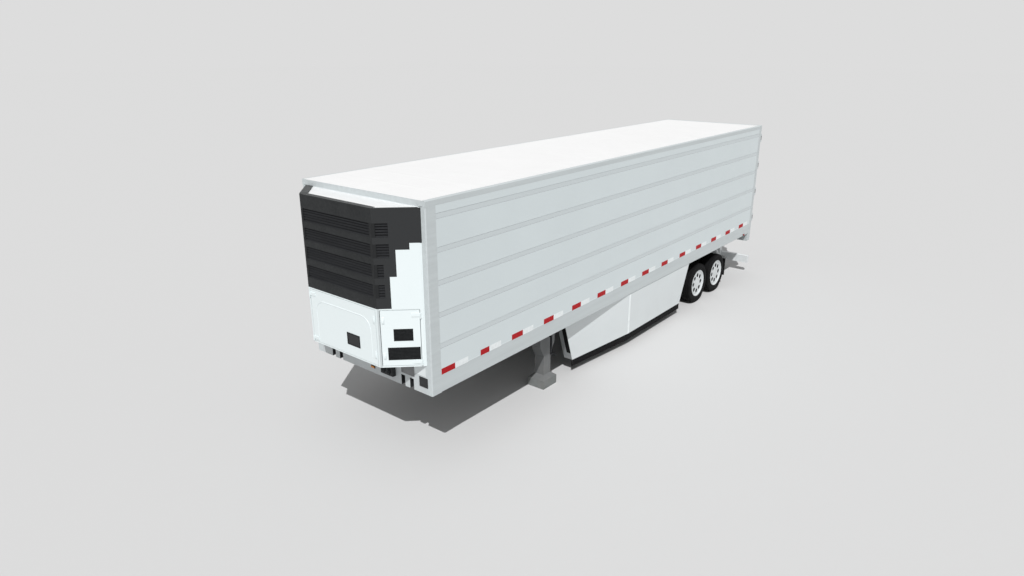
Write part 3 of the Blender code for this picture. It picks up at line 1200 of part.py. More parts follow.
def unit_side_door(side, sign):
    """Corner service door with two vents, hinged beside the nose wall."""
    low, high = unit_door_heights()
    hinge = side_hinge_along()
    near = UNIT_POST + UNIT_DOOR_GAP
    far = hinge - UNIT_DOOR_SLIT
    outline = [(near, low), (far, low), (far, high), (near, high)]
    door = corner_plate(f"unit_side_door_{side}", sign, outline)
    vents = []
    for ends, heights in DOOR_VENTS:
        start, end = [share * corner_length() for share in ends]
        bottom, top = [low + share * (high - low) for share in heights]
        vent = [(start, bottom), (end, bottom), (end, top), (start, top)]
        vents.append(corner_plate("vent", sign, vent, UNIT_PANEL / 2, -UNIT_PANEL / 2))
    parts = [cut(door, vents)]
    radius = UNIT_HINGE_RADIUS
    pin = on_corner(hinge, radius)
    inner, outer = hinge - UNIT_HINGE_LEAF, hinge - LEAF_EDGE
    for height in unit_hinges():
        bottom, top = height - UNIT_HINGE_HEIGHT / 2, height + UNIT_HINGE_HEIGHT / 2
        parts.append(turned("knuckle", [(bottom, radius), (top, radius)], (sign * pin.x, pin.y, 0), "Z", 8))
        leaf = [(inner, bottom), (outer, bottom), (outer, top), (inner, top)]
        parts.append(corner_plate("leaf", sign, leaf, UNIT_LEAF_THICKNESS, -MESH_OVERLAP))
    return paint(weld(f"unit_side_door_{side}", parts), UNIT_WHITE)


def unit_engine():
    """Engine and compressor as one plain block on the unit's pan."""
    floor_z = UNIT_BOTTOM + UNIT_DECK + SEAT_GAP
    block = box("unit_engine", (-ENGINE_HALF_WIDTH, ENGINE_HALF_WIDTH),
                (station(ENGINE_FRONT_ROOM - UNIT_DEPTH), station(-UNIT_PANEL - ENGINE_BACK_ROOM)),
                (floor_z, floor_z + ENGINE_HEIGHT))
    return paint(block, STEEL_GREY)


def unit_condenser():
    """Condenser behind the grille, as one flat block."""
    floor_z = UNIT_SPLIT + UNIT_DECK + SEAT_GAP
    half = UNIT_FRONT_HALF - UNIT_PANEL - CONDENSER_MARGIN
    front = station(CONDENSER_ROOM - UNIT_DEPTH)
    core = box("unit_condenser", (-half, half), (front, front + CONDENSER_THICKNESS),
               (floor_z, UNIT_TOP - UNIT_DECK - CONDENSER_TOP_ROOM))
    return paint(core, UNIT_DARK)


def connector_box():
    """Box for the air and electric connectors, with two couplings on its face."""
    x0, x1 = CONNECTOR_SPAN
    z0, z1 = [RAIL_UNDERSIDE + rise for rise in CONNECTOR_HEIGHTS]
    back = station(0) - SEAT_GAP
    front = back - CONNECTOR_DEPTH
    parts = [box("connector_box", (x0, x1), (front, back), (z0, z1))]
    profile = [(front - COUPLING_LENGTH, COUPLING_RADII[0]), (front + MESH_OVERLAP, COUPLING_RADII[1])]
    for share in COUPLING_SHARES:
        centre = (x0 + (x1 - x0) * share, 0, (z0 + z1) / 2)
        parts.append(turned("coupling", profile, centre, "Y", 12))
    return paint(weld("connector_box", parts), UNIT_DARK)


def build():
    for item in list(bpy.data.objects):
        bpy.data.objects.remove(item)
    floor()
    underframe()
    roof()
    front_wall()
    nose_sill()
    rear_frame()
    coupler()
    landing_brace()
    landing_crank()
    slider_frame()
    underride_guard()
    tail_lamps()
    fuel_tank()
    connector_box()
    for side, sign in SIDES:
        bottom_rail(side, sign)
        side_wall(side, sign)
        top_rail(side, sign)
        corner_post(side, sign)
        landing_leg(side, sign)
        skirt_panel("front", side, sign)
        skirt_panel("rear", side, sign)
        skirt_strip(side, sign)
        mudflap(side, sign)
        door = rear_door(side, sign)
        hinge_place = (sign * (HALF_WIDTH - DOOR_HINGE_INSET), REAR_Y + DOOR_HINGE_REACH, FLOOR_TOP)
        pivot(f"rear_door_pivot_{side}", hinge_place, [door])
        for number, place in enumerate(AXLE_STATIONS, 1):
            air_spring(number, place, side, sign)
            turning = [wheel_pair(number, place, side, sign)]
            turning += [tyre(number, place, side, sign, row) for row in ("outer", "inner")]
            pivot(f"wheel_pivot_{number}_{side}", (sign * DUAL_CENTRE, station(place), WHEEL_RADIUS),
                  turning)
    for number, place in enumerate(AXLE_STATIONS, 1):
        axle(number, place)
    unit_frame()
    unit_cowl()
    unit_engine()
    unit_condenser()
    pivot("unit_front_door_pivot", (*front_hinge(), UNIT_BOTTOM), [unit_front_door()])
    for side, sign in SIDES:
        pin = on_corner(side_hinge_along(), UNIT_HINGE_RADIUS)
        pivot(f"unit_side_door_pivot_{side}", (sign * pin.x, pin.y, UNIT_BOTTOM),
              [unit_side_door(side, sign)])


build()
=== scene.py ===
# %% [markdown]
# A refrigerated semi trailer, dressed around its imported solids.
#
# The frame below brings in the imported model: every solid at its real size, in metres, with the
# ground at z = 0, the nose towards -Y and the street side towards +X. The solids are right in
# shape, so most of them stay and only get a better finish.

import math

import bmesh
import bpy
from mathutils import Euler, Matrix, Vector


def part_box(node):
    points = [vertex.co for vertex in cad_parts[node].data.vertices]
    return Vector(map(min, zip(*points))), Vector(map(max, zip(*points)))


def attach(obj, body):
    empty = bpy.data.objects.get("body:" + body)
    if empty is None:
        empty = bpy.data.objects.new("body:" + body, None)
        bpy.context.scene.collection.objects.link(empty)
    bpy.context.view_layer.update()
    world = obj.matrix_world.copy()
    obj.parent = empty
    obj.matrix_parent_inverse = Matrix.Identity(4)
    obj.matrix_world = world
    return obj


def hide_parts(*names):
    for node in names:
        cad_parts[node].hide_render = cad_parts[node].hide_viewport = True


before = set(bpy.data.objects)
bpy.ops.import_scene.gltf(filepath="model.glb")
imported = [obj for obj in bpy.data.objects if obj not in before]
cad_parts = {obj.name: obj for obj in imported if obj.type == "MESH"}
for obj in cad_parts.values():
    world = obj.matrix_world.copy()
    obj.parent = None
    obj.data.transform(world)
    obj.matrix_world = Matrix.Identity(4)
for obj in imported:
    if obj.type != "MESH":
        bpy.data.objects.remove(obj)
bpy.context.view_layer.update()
print("solids:", len(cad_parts))

# %% [markdown]
# Places to build from.
#
# A piece fits because it takes its place from the solid that carries it, not from a number read
# off a picture. Each value here is asked from the frame once and then used by name.

# %% Places read from the solids
SIDES = (("street", 1), ("curb", -1))
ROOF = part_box("roof")
NOSE_Y, BODY_TOP = ROOF[0].y, ROOF[1].z
INNER_X, SIDE_START, WALL_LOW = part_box("side_wall_street")[0]
WALL_X, BODY_END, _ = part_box("side_wall_street")[1]
RAIL_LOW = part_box("bottom_rail_street")[0].z
REAR_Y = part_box("tail_lamps")[0].y
_, UNIT_FRONT, COWL_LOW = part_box("unit_cowl")[0]
UNIT_TOP, UNIT_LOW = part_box("unit_cowl")[1].z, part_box("unit_frame")[0].z


def along(distance):
    """World Y of a place this far behind the nose wall."""
    return NOSE_Y + distance


def middle(node, axis):
    """Middle of a solid along one axis."""
    low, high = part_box(node)
    return (low[axis] + high[axis]) / 2


def about(centre, half):
    """A span that reaches equally far to both sides of its centre."""
    return centre - half, centre + half


def inset(span, by):
    """A span drawn in by the same distance at both ends."""
    return span[0] + by, span[1] - by


print("nose wall at", round(NOSE_Y, 4), "rear frame at", round(REAR_Y, 4))

# %% [markdown]
# Small builders.
#
# Nearly every fitting on a trailer is a plate, a turned part or a bent bar. A few helpers draw those
# into a bmesh, so one piece can hold many of them. The place goes into the mesh and each object
# stays at the origin, because patterns on Object coordinates and the export both rely on that.


# %% Plates, blocks and frames
def round_edges(bm, verts, bevel, segments):
    edges = list({edge for vert in verts for edge in vert.link_edges})
    bmesh.ops.bevel(bm, geom=edges, offset=bevel, segments=segments, profile=0.5, affect="EDGES")


def add_box(bm, x_span, y_span, z_span, bevel=0.0, segments=2):
    """A plate or block between two corners, with its edges rounded where bevel is given."""
    low = Vector((min(x_span), min(y_span), min(z_span)))
    high = Vector((max(x_span), max(y_span), max(z_span)))
    made = bmesh.ops.create_cube(bm, size=1.0)["verts"]
    place = Matrix.Translation((low + high) / 2) @ Matrix.Diagonal((*(high - low), 1.0))
    bmesh.ops.transform(bm, matrix=place, verts=made)
    if bevel:
        round_edges(bm, made, bevel, segments)


def add_frame(bm, x_span, y_span, z_span, width, bevel, segments, lap=0.001, sunk=0.0):
    """Two uprights and two cross bars round an opening. The cross bars reach lap into the uprights."""
    for span in ((x_span[0], x_span[0] + width), (x_span[1] - width, x_span[1])):
        add_box(bm, span, y_span, z_span, bevel, segments)
    for span in ((z_span[0], z_span[0] + width), (z_span[1] - width, z_span[1])):
        add_box(bm, inset(x_span, width - lap), (y_span[0] + sunk, y_span[1]), span, bevel, segments)


def add_skin(bm, rows, ring=False):
    """Faces from each row of points to the next, and over both ends unless the rows close up."""
    rows = [[bm.verts.new(point) for point in row] for row in rows]
    count = max(len(row) for row in rows)
    for first, second in list(zip(rows, rows[1:])) + ([(rows[-1], rows[0])] if ring else []):
        for k in range(count):
            j = (k + 1) % count
            corners = [first[k % len(first)], first[j % len(first)],
                       second[j % len(second)], second[k % len(second)]]
            bm.faces.new(list(dict.fromkeys(corners)))
    for row in () if ring else (rows[0], rows[-1]):
        if len(row) > 1:
            bm.faces.new(row)
    return [vert for row in rows for vert in row]


# %% Prisms, turned parts and tubes
def add_prism(bm, outline, axis, start, end, bevel=0.0):
    """An outline run along X (given as y, z), Y (x, z) or Z (x, y)."""
    place = {"X": lambda a, b, d: (d, a, b), "Y": lambda a, b, d: (a, d, b),
             "Z": lambda a, b, d: (a, b, d)}[axis]
    made = add_skin(bm, [[place(a, b, depth) for a, b in outline] for depth in (start, end)])
    if bevel:
        round_edges(bm, made, bevel, 2)


AXIS_TURN = {"X": Matrix.Identity(3), "Y": Matrix.Rotation(math.pi / 2, 3, "Z"),
             "Z": Matrix.Rotation(-math.pi / 2, 3, "Y")}


def add_turned(bm, profile, centre, axis, segments, ring=False):
    """A profile of (place along the axis, radius) turned about the axis through centre."""
    angles = [2 * math.pi * k / segments for k in range(segments)]
    rows = [[Vector(centre) + AXIS_TURN[axis] @ Vector((place, radius * math.cos(angle),
                                                        radius * math.sin(angle)))
             for angle in (angles if radius else angles[:1])] for place, radius in profile]
    add_skin(bm, rows, ring)


def add_rod(bm, span, radius, centre, axis, segments):
    """A straight bar along an axis, such as a pin, or a bolt's head with six segments."""
    add_turned(bm, [(place, radius) for place in span], centre, axis, segments)


def add_tube(bm, points, radius, segments):
    """A round bar along a path of points, closed at both ends."""
    points = [Vector(point) for point in points]
    side = (points[1] - points[0]).normalized().orthogonal().normalized()
    rows = []
    for i, point in enumerate(points):
        run = (points[min(i + 1, len(points) - 1)] - points[max(i - 1, 0)]).normalized()
        side = (side - run * side.dot(run)).normalized()
        up = run.cross(side)
        rows.append([point + radius * (side * math.cos(angle) + up * math.sin(angle))
                     for angle in (2 * math.pi * k / segments for k in range(segments))])
    add_skin(bm, rows)


# %% Helpers for meshes and objects
def drawn(draw, *sizes, **more):
    """A new bmesh that holds one shape."""
    bm = bmesh.new()
    draw(bm, *sizes, **more)
    return bm


def mesh_from(bm):
    """A plain mesh in place of a bmesh."""
    mesh = bpy.data.meshes.new("drawing")
    bm.to_mesh(mesh)
    bm.free()
    return mesh


def joined(meshes):
    """One bmesh in place of several meshes."""
    bm = bmesh.new()
    for mesh in meshes:
        bm.from_mesh(mesh)
        bpy.data.meshes.remove(mesh)
    return bm


def add_moved(bm, part, place):
    """Adds another bmesh, moved by a matrix. It may mirror: dress() renews the normals."""
    carrier = mesh_from(part)
    carrier.transform(place)
    bm.from_mesh(carrier)
    bpy.data.meshes.remove(carrier)


def add_object(name, data):
    made = bpy.data.objects.new(name, data)
    bpy.context.scene.collection.objects.link(made)
    return made


def applied(host, helper):
    """The plain mesh that a host's modifier makes with a helper object. Both objects go."""
    graph = bpy.context.evaluated_depsgraph_get()
    mesh = bpy.data.meshes.new_from_object(host.evaluated_get(graph))
    host.modifiers.clear()
    for scratch in (host, helper):
        bpy.data.objects.remove(scratch)
    return mesh


# %% [markdown]
# Copies by Geometry Nodes.
#
# Rivets, nuts, tread blocks, louvre blades and floor ribs are one small shape repeated by a rule.
# One node tree does them all: it sets copies of an item in a line, turns each by the same step,
# and can repeat the whole line in rows. The sizes are named inputs. The tree ends by making the
# copies real and giving them their finish, because the export drops instances.


# %% Build the tree of repeated copies
def wire(tree, *wires):
    """Links nodes, each wire given as source, output, target, input."""
    for source, output, target, place in wires:
        tree.links.new(source.outputs[output], target.inputs[place])


def build_copies_tree():
    tree = bpy.data.node_groups.new("copies_in_rows", "GeometryNodeTree")
    sockets = {}
    for title, kind in (("Item", "Object"), ("Finish", "Material"), ("Copies", "Int"), ("Rows", "Int"),
                        ("Start", "Vector"), ("Step", "Vector"), ("Turn", "Vector"),
                        ("Row step", "Vector")):
        socket = tree.interface.new_socket(title, in_out="INPUT", socket_type="NodeSocket" + kind)
        sockets[title] = socket.identifier
    tree.interface.new_socket("Geometry", in_out="OUTPUT", socket_type="NodeSocketGeometry")
    given, result, turn = (tree.nodes.new(kind) for kind in (
        "NodeGroupInput", "NodeGroupOutput", "ShaderNodeVectorMath"))
    turn.operation = "SCALE"
    item, index, line, rows, copies, placed, whole, real, painted = (
        tree.nodes.new("GeometryNode" + kind) for kind in (
            "ObjectInfo", "InputIndex", "MeshLine", "MeshLine", "InstanceOnPoints", "InstanceOnPoints",
            "RealizeInstances", "RealizeInstances", "SetMaterial"))
    wire(tree, (given, "Item", item, "Object"), (given, "Copies", line, "Count"),
         (given, "Start", line, "Start Location"), (given, "Step", line, "Offset"),
         (given, "Turn", turn, 0), (index, 0, turn, "Scale"), (line, "Mesh", copies, "Points"),
         (item, "Geometry", copies, "Instance"), (turn, "Vector", copies, "Rotation"),
         (copies, "Instances", whole, "Geometry"), (given, "Rows", rows, "Count"),
         (given, "Row step", rows, "Offset"), (rows, "Mesh", placed, "Points"),
         (whole, "Geometry", placed, "Instance"), (placed, "Instances", real, "Geometry"),
         (real, "Geometry", painted, "Geometry"), (given, "Finish", painted, "Material"),
         (painted, "Geometry", result, "Geometry"))
    return tree, sockets


copies_tree, copies_inputs = build_copies_tree()
print("inputs of the tree:", ", ".join(copies_inputs))


def repeat(item_bm, finish, copies, start=(0, 0, 0), step=(0, 0, 0), turn=(0, 0, 0), rows=1,
           row_step=(0, 0, 0)):
    """Run the tree on one item and return the copies as a plain mesh."""
    bmesh.ops.recalc_face_normals(item_bm, faces=item_bm.faces)
    item = add_object("item", mesh_from(item_bm))
    host = add_object("host", bpy.data.meshes.new("host"))
    modifier = host.modifiers.new("copies", "NODES")
    modifier.node_group = copies_tree
    values = {"Item": item, "Finish": finish, "Copies": copies, "Rows": rows, "Start": start,
              "Step": step, "Turn": turn, "Row step": row_step}
    for title, value in values.items():
        modifier[copies_inputs[title]] = value
    return applied(host, item)


def repeat_round(item_bm, finish, copies):
    """Copies turned about the X axis, as round a wheel."""
    return repeat(item_bm, finish, copies, turn=(2 * math.pi / copies, 0, 0))


# %% [markdown]
# Finishes, and how they are put together.
#
# Every finish starts from a Principled shader. Values that are the same all over are set on the
# shader itself. What varies over a surface comes from noise on Object coordinates, because the
# solids have no UV map: slow patches change the shade and the gloss, and a fine grain goes into
# the bump. Bands, dust and masks are then laid over that base, each from a place in metres.


# %% Nodes and patterns of a finish
def shader_of(material):
    return material.node_tree.nodes["Principled BSDF"]


def add_node(material, kind, values, **settings):
    """A shader node; a value that is a socket gets linked, any other is set."""
    made = material.node_tree.nodes.new("ShaderNode" + kind)
    for title, value in settings.items():
        setattr(made, title, value)
    for title, value in values.items():
        if isinstance(value, bpy.types.NodeSocket):
            material.node_tree.links.new(value, made.inputs[title])
        else:
            made.inputs[title].default_value = value
    return made


def object_place(material, stretch=(1, 1, 1)):
    place = add_node(material, "TexCoord", {}).outputs["Object"]
    return add_node(material, "Mapping", {"Vector": place, "Scale": stretch}).outputs["Vector"]


def noise(material, scale, stretch=(1, 1, 1), detail=3.0):
    """Noise whose patches are about 1 / scale metres wide, drawn out where stretch is small."""
    values = {"Vector": object_place(material, stretch), "Scale": scale, "Detail": detail}
    return add_node(material, "TexNoise", values).outputs[0]


def spread(material, value, low, high, start=0.35, end=0.65):
    """Rescales start..end to low..high and holds the ends."""
    values = {"Value": value, "From Min": start, "From Max": end, "To Min": low, "To Max": high}
    return add_node(material, "MapRange", values).outputs[0]


def mix_colours(material, factor, first, second):
    values = {0: factor, 6: first, 7: second}
    return add_node(material, "Mix", values, data_type="RGBA").outputs[2]


def reckon(material, operation, *values):
    """One step of arithmetic on values that vary over the surface."""
    return add_node(material, "Math", dict(enumerate(values)), operation=operation).outputs[0]


def axis_place(material, axis):
    """Object coordinate along one axis, in metres."""
    place = add_node(material, "TexCoord", {}).outputs["Object"]
    return add_node(material, "SeparateXYZ", {0: place}).outputs[axis]


def off_centre(material):
    """Distance from the trailer's middle plane, so that both sides read alike."""
    return reckon(material, "ABSOLUTE", axis_place(material, "X"))


# %% Layers over a finish
def overlay(material, mask, colour=None, roughness=None, metallic=None):
    """Lays another colour, roughness or metallic over what the shader has, where mask is 1."""
    links = material.node_tree.links
    for title, value in (("Base Color", colour), ("Roughness", roughness), ("Metallic", metallic)):
        if value is None:
            continue
        socket = shader_of(material).inputs[title]
        before = socket.links[0].from_socket if socket.is_linked else socket.default_value
        if title == "Base Color":
            under = before if isinstance(before, bpy.types.NodeSocket) else tuple(before)
            links.new(mix_colours(material, mask, under, (*value, 1.0)), socket)
        else:
            made = add_node(material, "Mix", {0: mask, 2: before, 3: value}, data_type="FLOAT")
            links.new(made.outputs[0], socket)


def add_bump(material, height, distance):
    """Adds a relief, on top of one that the shader already has."""
    normal = shader_of(material).inputs["Normal"]
    values = {"Height": height, "Distance": distance}
    if normal.is_linked:
        values["Normal"] = normal.links[0].from_socket
    material.node_tree.links.new(add_node(material, "Bump", values).outputs["Normal"], normal)


# %% The base of every finish
def surface(name, colour, roughness, metallic=0.0, shade=0.04, patch=1.5, stretch=(1, 1, 1),
            grain=240.0, depth=0.00015, **fixed):
    """Paint, metal, rubber or plastic: slow changes of shade, uneven gloss and a fine grain."""
    material = bpy.data.materials.new(name)
    material.use_nodes = True
    shader, links = shader_of(material), material.node_tree.links
    for title, value in {"Roughness": roughness, "Metallic": metallic, **fixed}.items():
        shader.inputs[title.replace("_", " ")].default_value = value
    dark = (*(value * (1 - shade) for value in colour), 1.0)
    light = (*(min(1.0, value * (1 + shade)) for value in colour), 1.0)
    slow = spread(material, noise(material, patch, stretch), 0.0, 1.0)
    links.new(mix_colours(material, slow, dark, light), shader.inputs["Base Color"])
    gloss = spread(material, noise(material, patch * 7, stretch), roughness * 0.85, roughness * 1.2)
    links.new(gloss, shader.inputs["Roughness"])
    add_bump(material, noise(material, grain, stretch, detail=1.0), depth)
    return material


# %% Masks by place, and road dust
def bands(material, axis, spans):
    """Mask that is 1 between each pair of places along an axis."""
    low, high = inset((spans[0][0], spans[-1][1]), -0.1)
    reach = spread(material, axis_place(material, axis), 0.0, 1.0, low, high)
    ramp = add_node(material, "ValToRGB", {"Fac": reach})
    ramp.color_ramp.interpolation = "CONSTANT"
    stops = ramp.color_ramp.elements
    stops[0].color, stops[1].color = (0, 0, 0, 1), (0, 0, 0, 1)
    for start, end in spans:
        for place, level in ((start, 1), (end, 0)):
            stops.new((place - low) / (high - low)).color = (level, level, level, 1)
    return ramp.outputs["Color"]


def repeats(material, axis, start, pitch, width):
    """Mask that is 1 for a width at every step along an axis. It is sharper than a ramp."""
    past = reckon(material, "SUBTRACT", axis_place(material, axis), start)
    return reckon(material, "LESS_THAN", reckon(material, "FLOORED_MODULO", past, pitch), width)


def beyond(material, axis, place, soft=0.0005):
    """Mask that is 1 past a place along an axis."""
    return spread(material, axis_place(material, axis), 0.0, 1.0, place - soft, place + soft)


def road_dust(material, top, amount, colour=(0.33, 0.31, 0.28)):
    """Pale dust that thickens towards the ground and lies in patches."""
    rise = spread(material, axis_place(material, "Z"), amount, 0.0, 0.0, top)
    patchy = reckon(material, "MULTIPLY", rise, spread(material, noise(material, 6.0), 0.3, 1.0))
    overlay(material, patchy, colour=colour, roughness=0.75)


# %% [markdown]
# Paint on the box.
#
# The side panels have five shallow lengthwise grooves, each painted a little darker than the rest:
# painted shade in the groove. The solid already holds them, so their heights are read from its
# corners and laid in as bands. The lower ledge of each groove faces up into the light and is painted
# darker still: painted shade that takes out its highlight. The skin of such a panel is never quite
# flat, so a very slow, very low bump runs under the fine one. The upper slope of a groove faces down
# and is painted lighter: a painted highlight that takes out its shade.

# %% Finishes of the box
levels = sorted({round(v.co.z, 3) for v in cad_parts["side_wall_street"].data.vertices})
grooves = [(levels[i], levels[i + 3]) for i in range(1, len(levels) - 1, 4)]
print("grooves between", grooves)

side_paint = surface("side_paint", (0.64, 0.70, 0.715), 0.34, shade=0.012, patch=0.7, depth=0.00008)
groove_pitch = (grooves[-1][0] - grooves[0][0]) / (len(grooves) - 1)
# painted shade in the whole groove, painted shade on its lower ledge and a painted highlight on its
# upper slope, as corners of the panel counted upwards
for first, last, colour in ((1, 4, (0.585, 0.635, 0.65)), (1, 2, (0.36, 0.39, 0.40)),
                            (3, 4, (0.80, 0.87, 0.89))):
    start, width = levels[first] - 0.0005, levels[last] - levels[first] + 0.001
    overlay(side_paint, repeats(side_paint, "Z", start, groove_pitch, width), colour=colour)
add_bump(side_paint, noise(side_paint, 1.1, detail=1.0), 0.004)

panel_white = surface("panel_white", (0.68, 0.72, 0.73), 0.34, shade=0.015, depth=0.0001)
road_dust(panel_white, top=0.9, amount=0.10)
cover_white = surface("cover_white", (0.88, 0.92, 0.93), 0.3, shade=0.01)
# the sill's white paint is painted down to grey: painted shade from the unit above
sill_paint = surface("sill_paint", (0.50, 0.53, 0.54), 0.42, shade=0.03, patch=3.0, depth=0.0001)

roof_paint = surface("roof_paint", (0.84, 0.84, 0.84), 0.42, shade=0.008, patch=0.6, grain=120.0)
bow_wave = add_node(roof_paint, "TexWave", {"Vector": object_place(roof_paint), "Scale": 0.52,
                                            "Distortion": 0.0}, bands_direction="Y")
add_bump(roof_paint, spread(roof_paint, bow_wave.outputs["Fac"], 0.0, 1.0, 0.93, 1.0), 0.0015)

rail_metal = surface("rail_metal", (0.545, 0.588, 0.598), 0.42, 0.1, shade=0.03, patch=2.0,
                     stretch=(9, 0.35, 9), grain=60.0, depth=0.00012)
bare_metal = surface("bare_metal", (0.62, 0.64, 0.65), 0.36, 0.85, shade=0.05, patch=3.0,
                     stretch=(6, 0.5, 6), grain=90.0, depth=0.0002)
floor_metal = surface("floor_metal", (0.60, 0.61, 0.62), 0.40, 0.85, shade=0.08, patch=2.5,
                      stretch=(8, 0.3, 8), grain=70.0, depth=0.0003)
print("box finishes:", side_paint.name, panel_white.name, roof_paint.name, rail_metal.name)

# %% [markdown]
# Metal, plastic and rubber of the rest.
#
# The steel below the box is powder coated, with road dust that thickens downwards. The cooling unit
# is moulded: a glossy white skin and a grained dark cowl. Galvanised fittings get the angular
# spangle of zinc from Voronoi cells. Lenses and reflective tape have a fine prism pattern, which is
# what tells them from plain coloured paint up close.

# %% Finishes of steel, wheels and rubber
frame_steel = surface("frame_steel", (0.125, 0.130, 0.132), 0.55, 0.1, shade=0.18, patch=5.0,
                      grain=320.0, depth=0.0003)
road_dust(frame_steel, top=1.1, amount=0.22)
FOOT_TOP = 0.16
leg_steel = surface("leg_steel", (0.165, 0.178, 0.178), 0.6, 0.15, shade=0.12, patch=7.0, grain=200.0,
                    depth=0.0005)
overlay(leg_steel, beyond(leg_steel, "Z", FOOT_TOP), colour=(0.145, 0.152, 0.155), roughness=0.55)
road_dust(leg_steel, top=1.1, amount=0.2)
plate_grey = surface("plate_grey", (0.185, 0.188, 0.192), 0.6, 0.1, shade=0.08, patch=9.0)
cast_iron = surface("cast_iron", (0.10, 0.095, 0.09), 0.68, 0.5, shade=0.25, patch=14.0,
                    grain=260.0, depth=0.0008)
wheel_paint = surface("wheel_paint", (0.64, 0.67, 0.68), 0.34, shade=0.03, patch=6.0, grain=300.0,
                      depth=0.0001, Coat_Weight=0.25)
end_grey = surface("end_grey", (0.29, 0.305, 0.31), 0.55, 0.1, shade=0.06, patch=8.0)
bright_steel = surface("bright_steel", (0.58, 0.60, 0.61), 0.38, 0.9, shade=0.06, patch=8.0)
spangle = add_node(bright_steel, "TexVoronoi", {"Vector": object_place(bright_steel), "Scale": 55.0})
add_bump(bright_steel, spangle.outputs["Distance"], 0.0003)

tyre_rubber = surface("tyre_rubber", (0.007, 0.007, 0.0075), 0.8, shade=0.25, patch=7.0,
                      grain=420.0, depth=0.0006, Specular_IOR_Level=0.12)
road_dust(tyre_rubber, top=0.95, amount=0.008)
seal_rubber = surface("seal_rubber", (0.0065, 0.0065, 0.007), 0.75, shade=0.2, patch=5.0,
                      grain=300.0, depth=0.0004, Specular_IOR_Level=0.12)
print("running gear finishes:", frame_steel.name, wheel_paint.name, tyre_rubber.name)

# %% Finishes of the cooling unit, lamps and tape
unit_white = surface("unit_white", (0.75, 0.815, 0.825), 0.34, shade=0.005, patch=0.5, grain=150.0,
                     depth=0.00002, Coat_Weight=0.25, Coat_Roughness=0.2)
unit_dark = surface("unit_dark", (0.0225, 0.0240, 0.0250), 0.55, shade=0.08, patch=4.0, grain=380.0,
                    depth=0.0005, Specular_IOR_Level=0.15)
# the cowl beyond its front face, at the corners, is painted a little lighter than the front: painted
# light
overlay(unit_dark, beyond(unit_dark, "Y", UNIT_FRONT + 0.002), colour=(0.031, 0.0325, 0.034))
# the top of the unit is painted lighter than its sides: painted highlight
overlay(unit_white, beyond(unit_white, "Z", UNIT_TOP - 0.003), colour=(0.83, 0.84, 0.845))
# a grey lighter than the cowl's plastic for the trim over the unit's top: painted highlight
bleached_dark = surface("bleached_dark", (0.072, 0.075, 0.076), 0.6, shade=0.1, patch=5.0, grain=380.0,
                        depth=0.0005, Specular_IOR_Level=0.15)
blade_dark = surface("blade_dark", (0.022, 0.023, 0.025), 0.8, shade=0.1, patch=5.0,
                     stretch=(0.4, 1, 6), grain=300.0, depth=0.0003, Specular_IOR_Level=0.12)
vent_dark = surface("vent_dark", (0.014, 0.015, 0.016), 0.8, shade=0.1, patch=6.0, grain=300.0,
                    depth=0.0003, Specular_IOR_Level=0.12)
coil = surface("coil", (0.10, 0.10, 0.10), 0.5, 0.8, shade=0.2, patch=6.0)
fins = add_node(coil, "TexWave", {"Vector": object_place(coil), "Scale": 90.0}, bands_direction="X")
add_bump(coil, fins.outputs["Fac"], 0.002)
dark_glass = surface("dark_glass", (0.014, 0.015, 0.016), 0.14, shade=0.1, patch=9.0, grain=60.0,
                     depth=0.00003, Specular_IOR_Level=0.3)


def prism_finish(name, colour, cell, depth, roughness=0.25, **fixed):
    """Plastic with a fine cell pattern, as in lenses and reflective tape."""
    material = surface(name, colour, roughness, shade=0.05, patch=20.0, **fixed)
    cells = add_node(material, "TexVoronoi", {"Vector": object_place(material), "Scale": 1 / cell},
                     distance="CHEBYCHEV")
    add_bump(material, cells.outputs["Distance"], depth)
    return material


lamp_red = prism_finish("lamp_red", (0.42, 0.012, 0.014), 0.006, 0.0015, Coat_Weight=0.5)
lamp_amber = prism_finish("lamp_amber", (0.72, 0.25, 0.02), 0.005, 0.0012, Coat_Weight=0.5)
tape_red = prism_finish("tape_red", (0.415, 0.011, 0.016), 0.004, 0.0002, 0.5,
                        Specular_IOR_Level=0.12)
tape_white = prism_finish("tape_white", (0.80, 0.84, 0.85), 0.004, 0.0002, 0.4)
print("lamps and tape:", lamp_red.name, lamp_amber.name, tape_red.name, tape_white.name)

# %% [markdown]
# Give the solids their finishes.
#
# A solid whose shape is right keeps its mesh and only gets a material in its slot. A rear door
# holds its galvanised hardware in the same solid, and the lamp strip its lenses, so a mask along Y
# gives the part that stands proud another finish.

# %% Finishes onto the solids
DOOR_THICK, LENS_PROUD = 0.075, 0.0128
DOOR_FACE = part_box("rear_door_street")[0].y + DOOR_THICK

door_paint = surface("door_paint", (0.66, 0.71, 0.725), 0.34, shade=0.015, depth=0.00008)
overlay(door_paint, beyond(door_paint, "Y", DOOR_FACE + 0.001), colour=(0.42, 0.43, 0.44),
        roughness=0.4, metallic=0.85)
lamp_strip = surface("lamp_strip", (0.55, 0.57, 0.58), 0.4, 0.6, shade=0.05, patch=4.0)
overlay(lamp_strip, beyond(lamp_strip, "Y", REAR_Y + LENS_PROUD), colour=(0.42, 0.012, 0.014),
        roughness=0.2, metallic=0.0)
guard_paint = surface("guard_paint", (0.72, 0.75, 0.76), 0.4, shade=0.03, patch=4.0)
road_dust(guard_paint, top=0.9, amount=0.08)


def finish_nodes(material, *nodes):
    for node in nodes:
        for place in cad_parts[node].material_slots:
            place.material = material


def both(*stems):
    return [f"{stem}_{side}" for stem in stems for side, _ in SIDES]


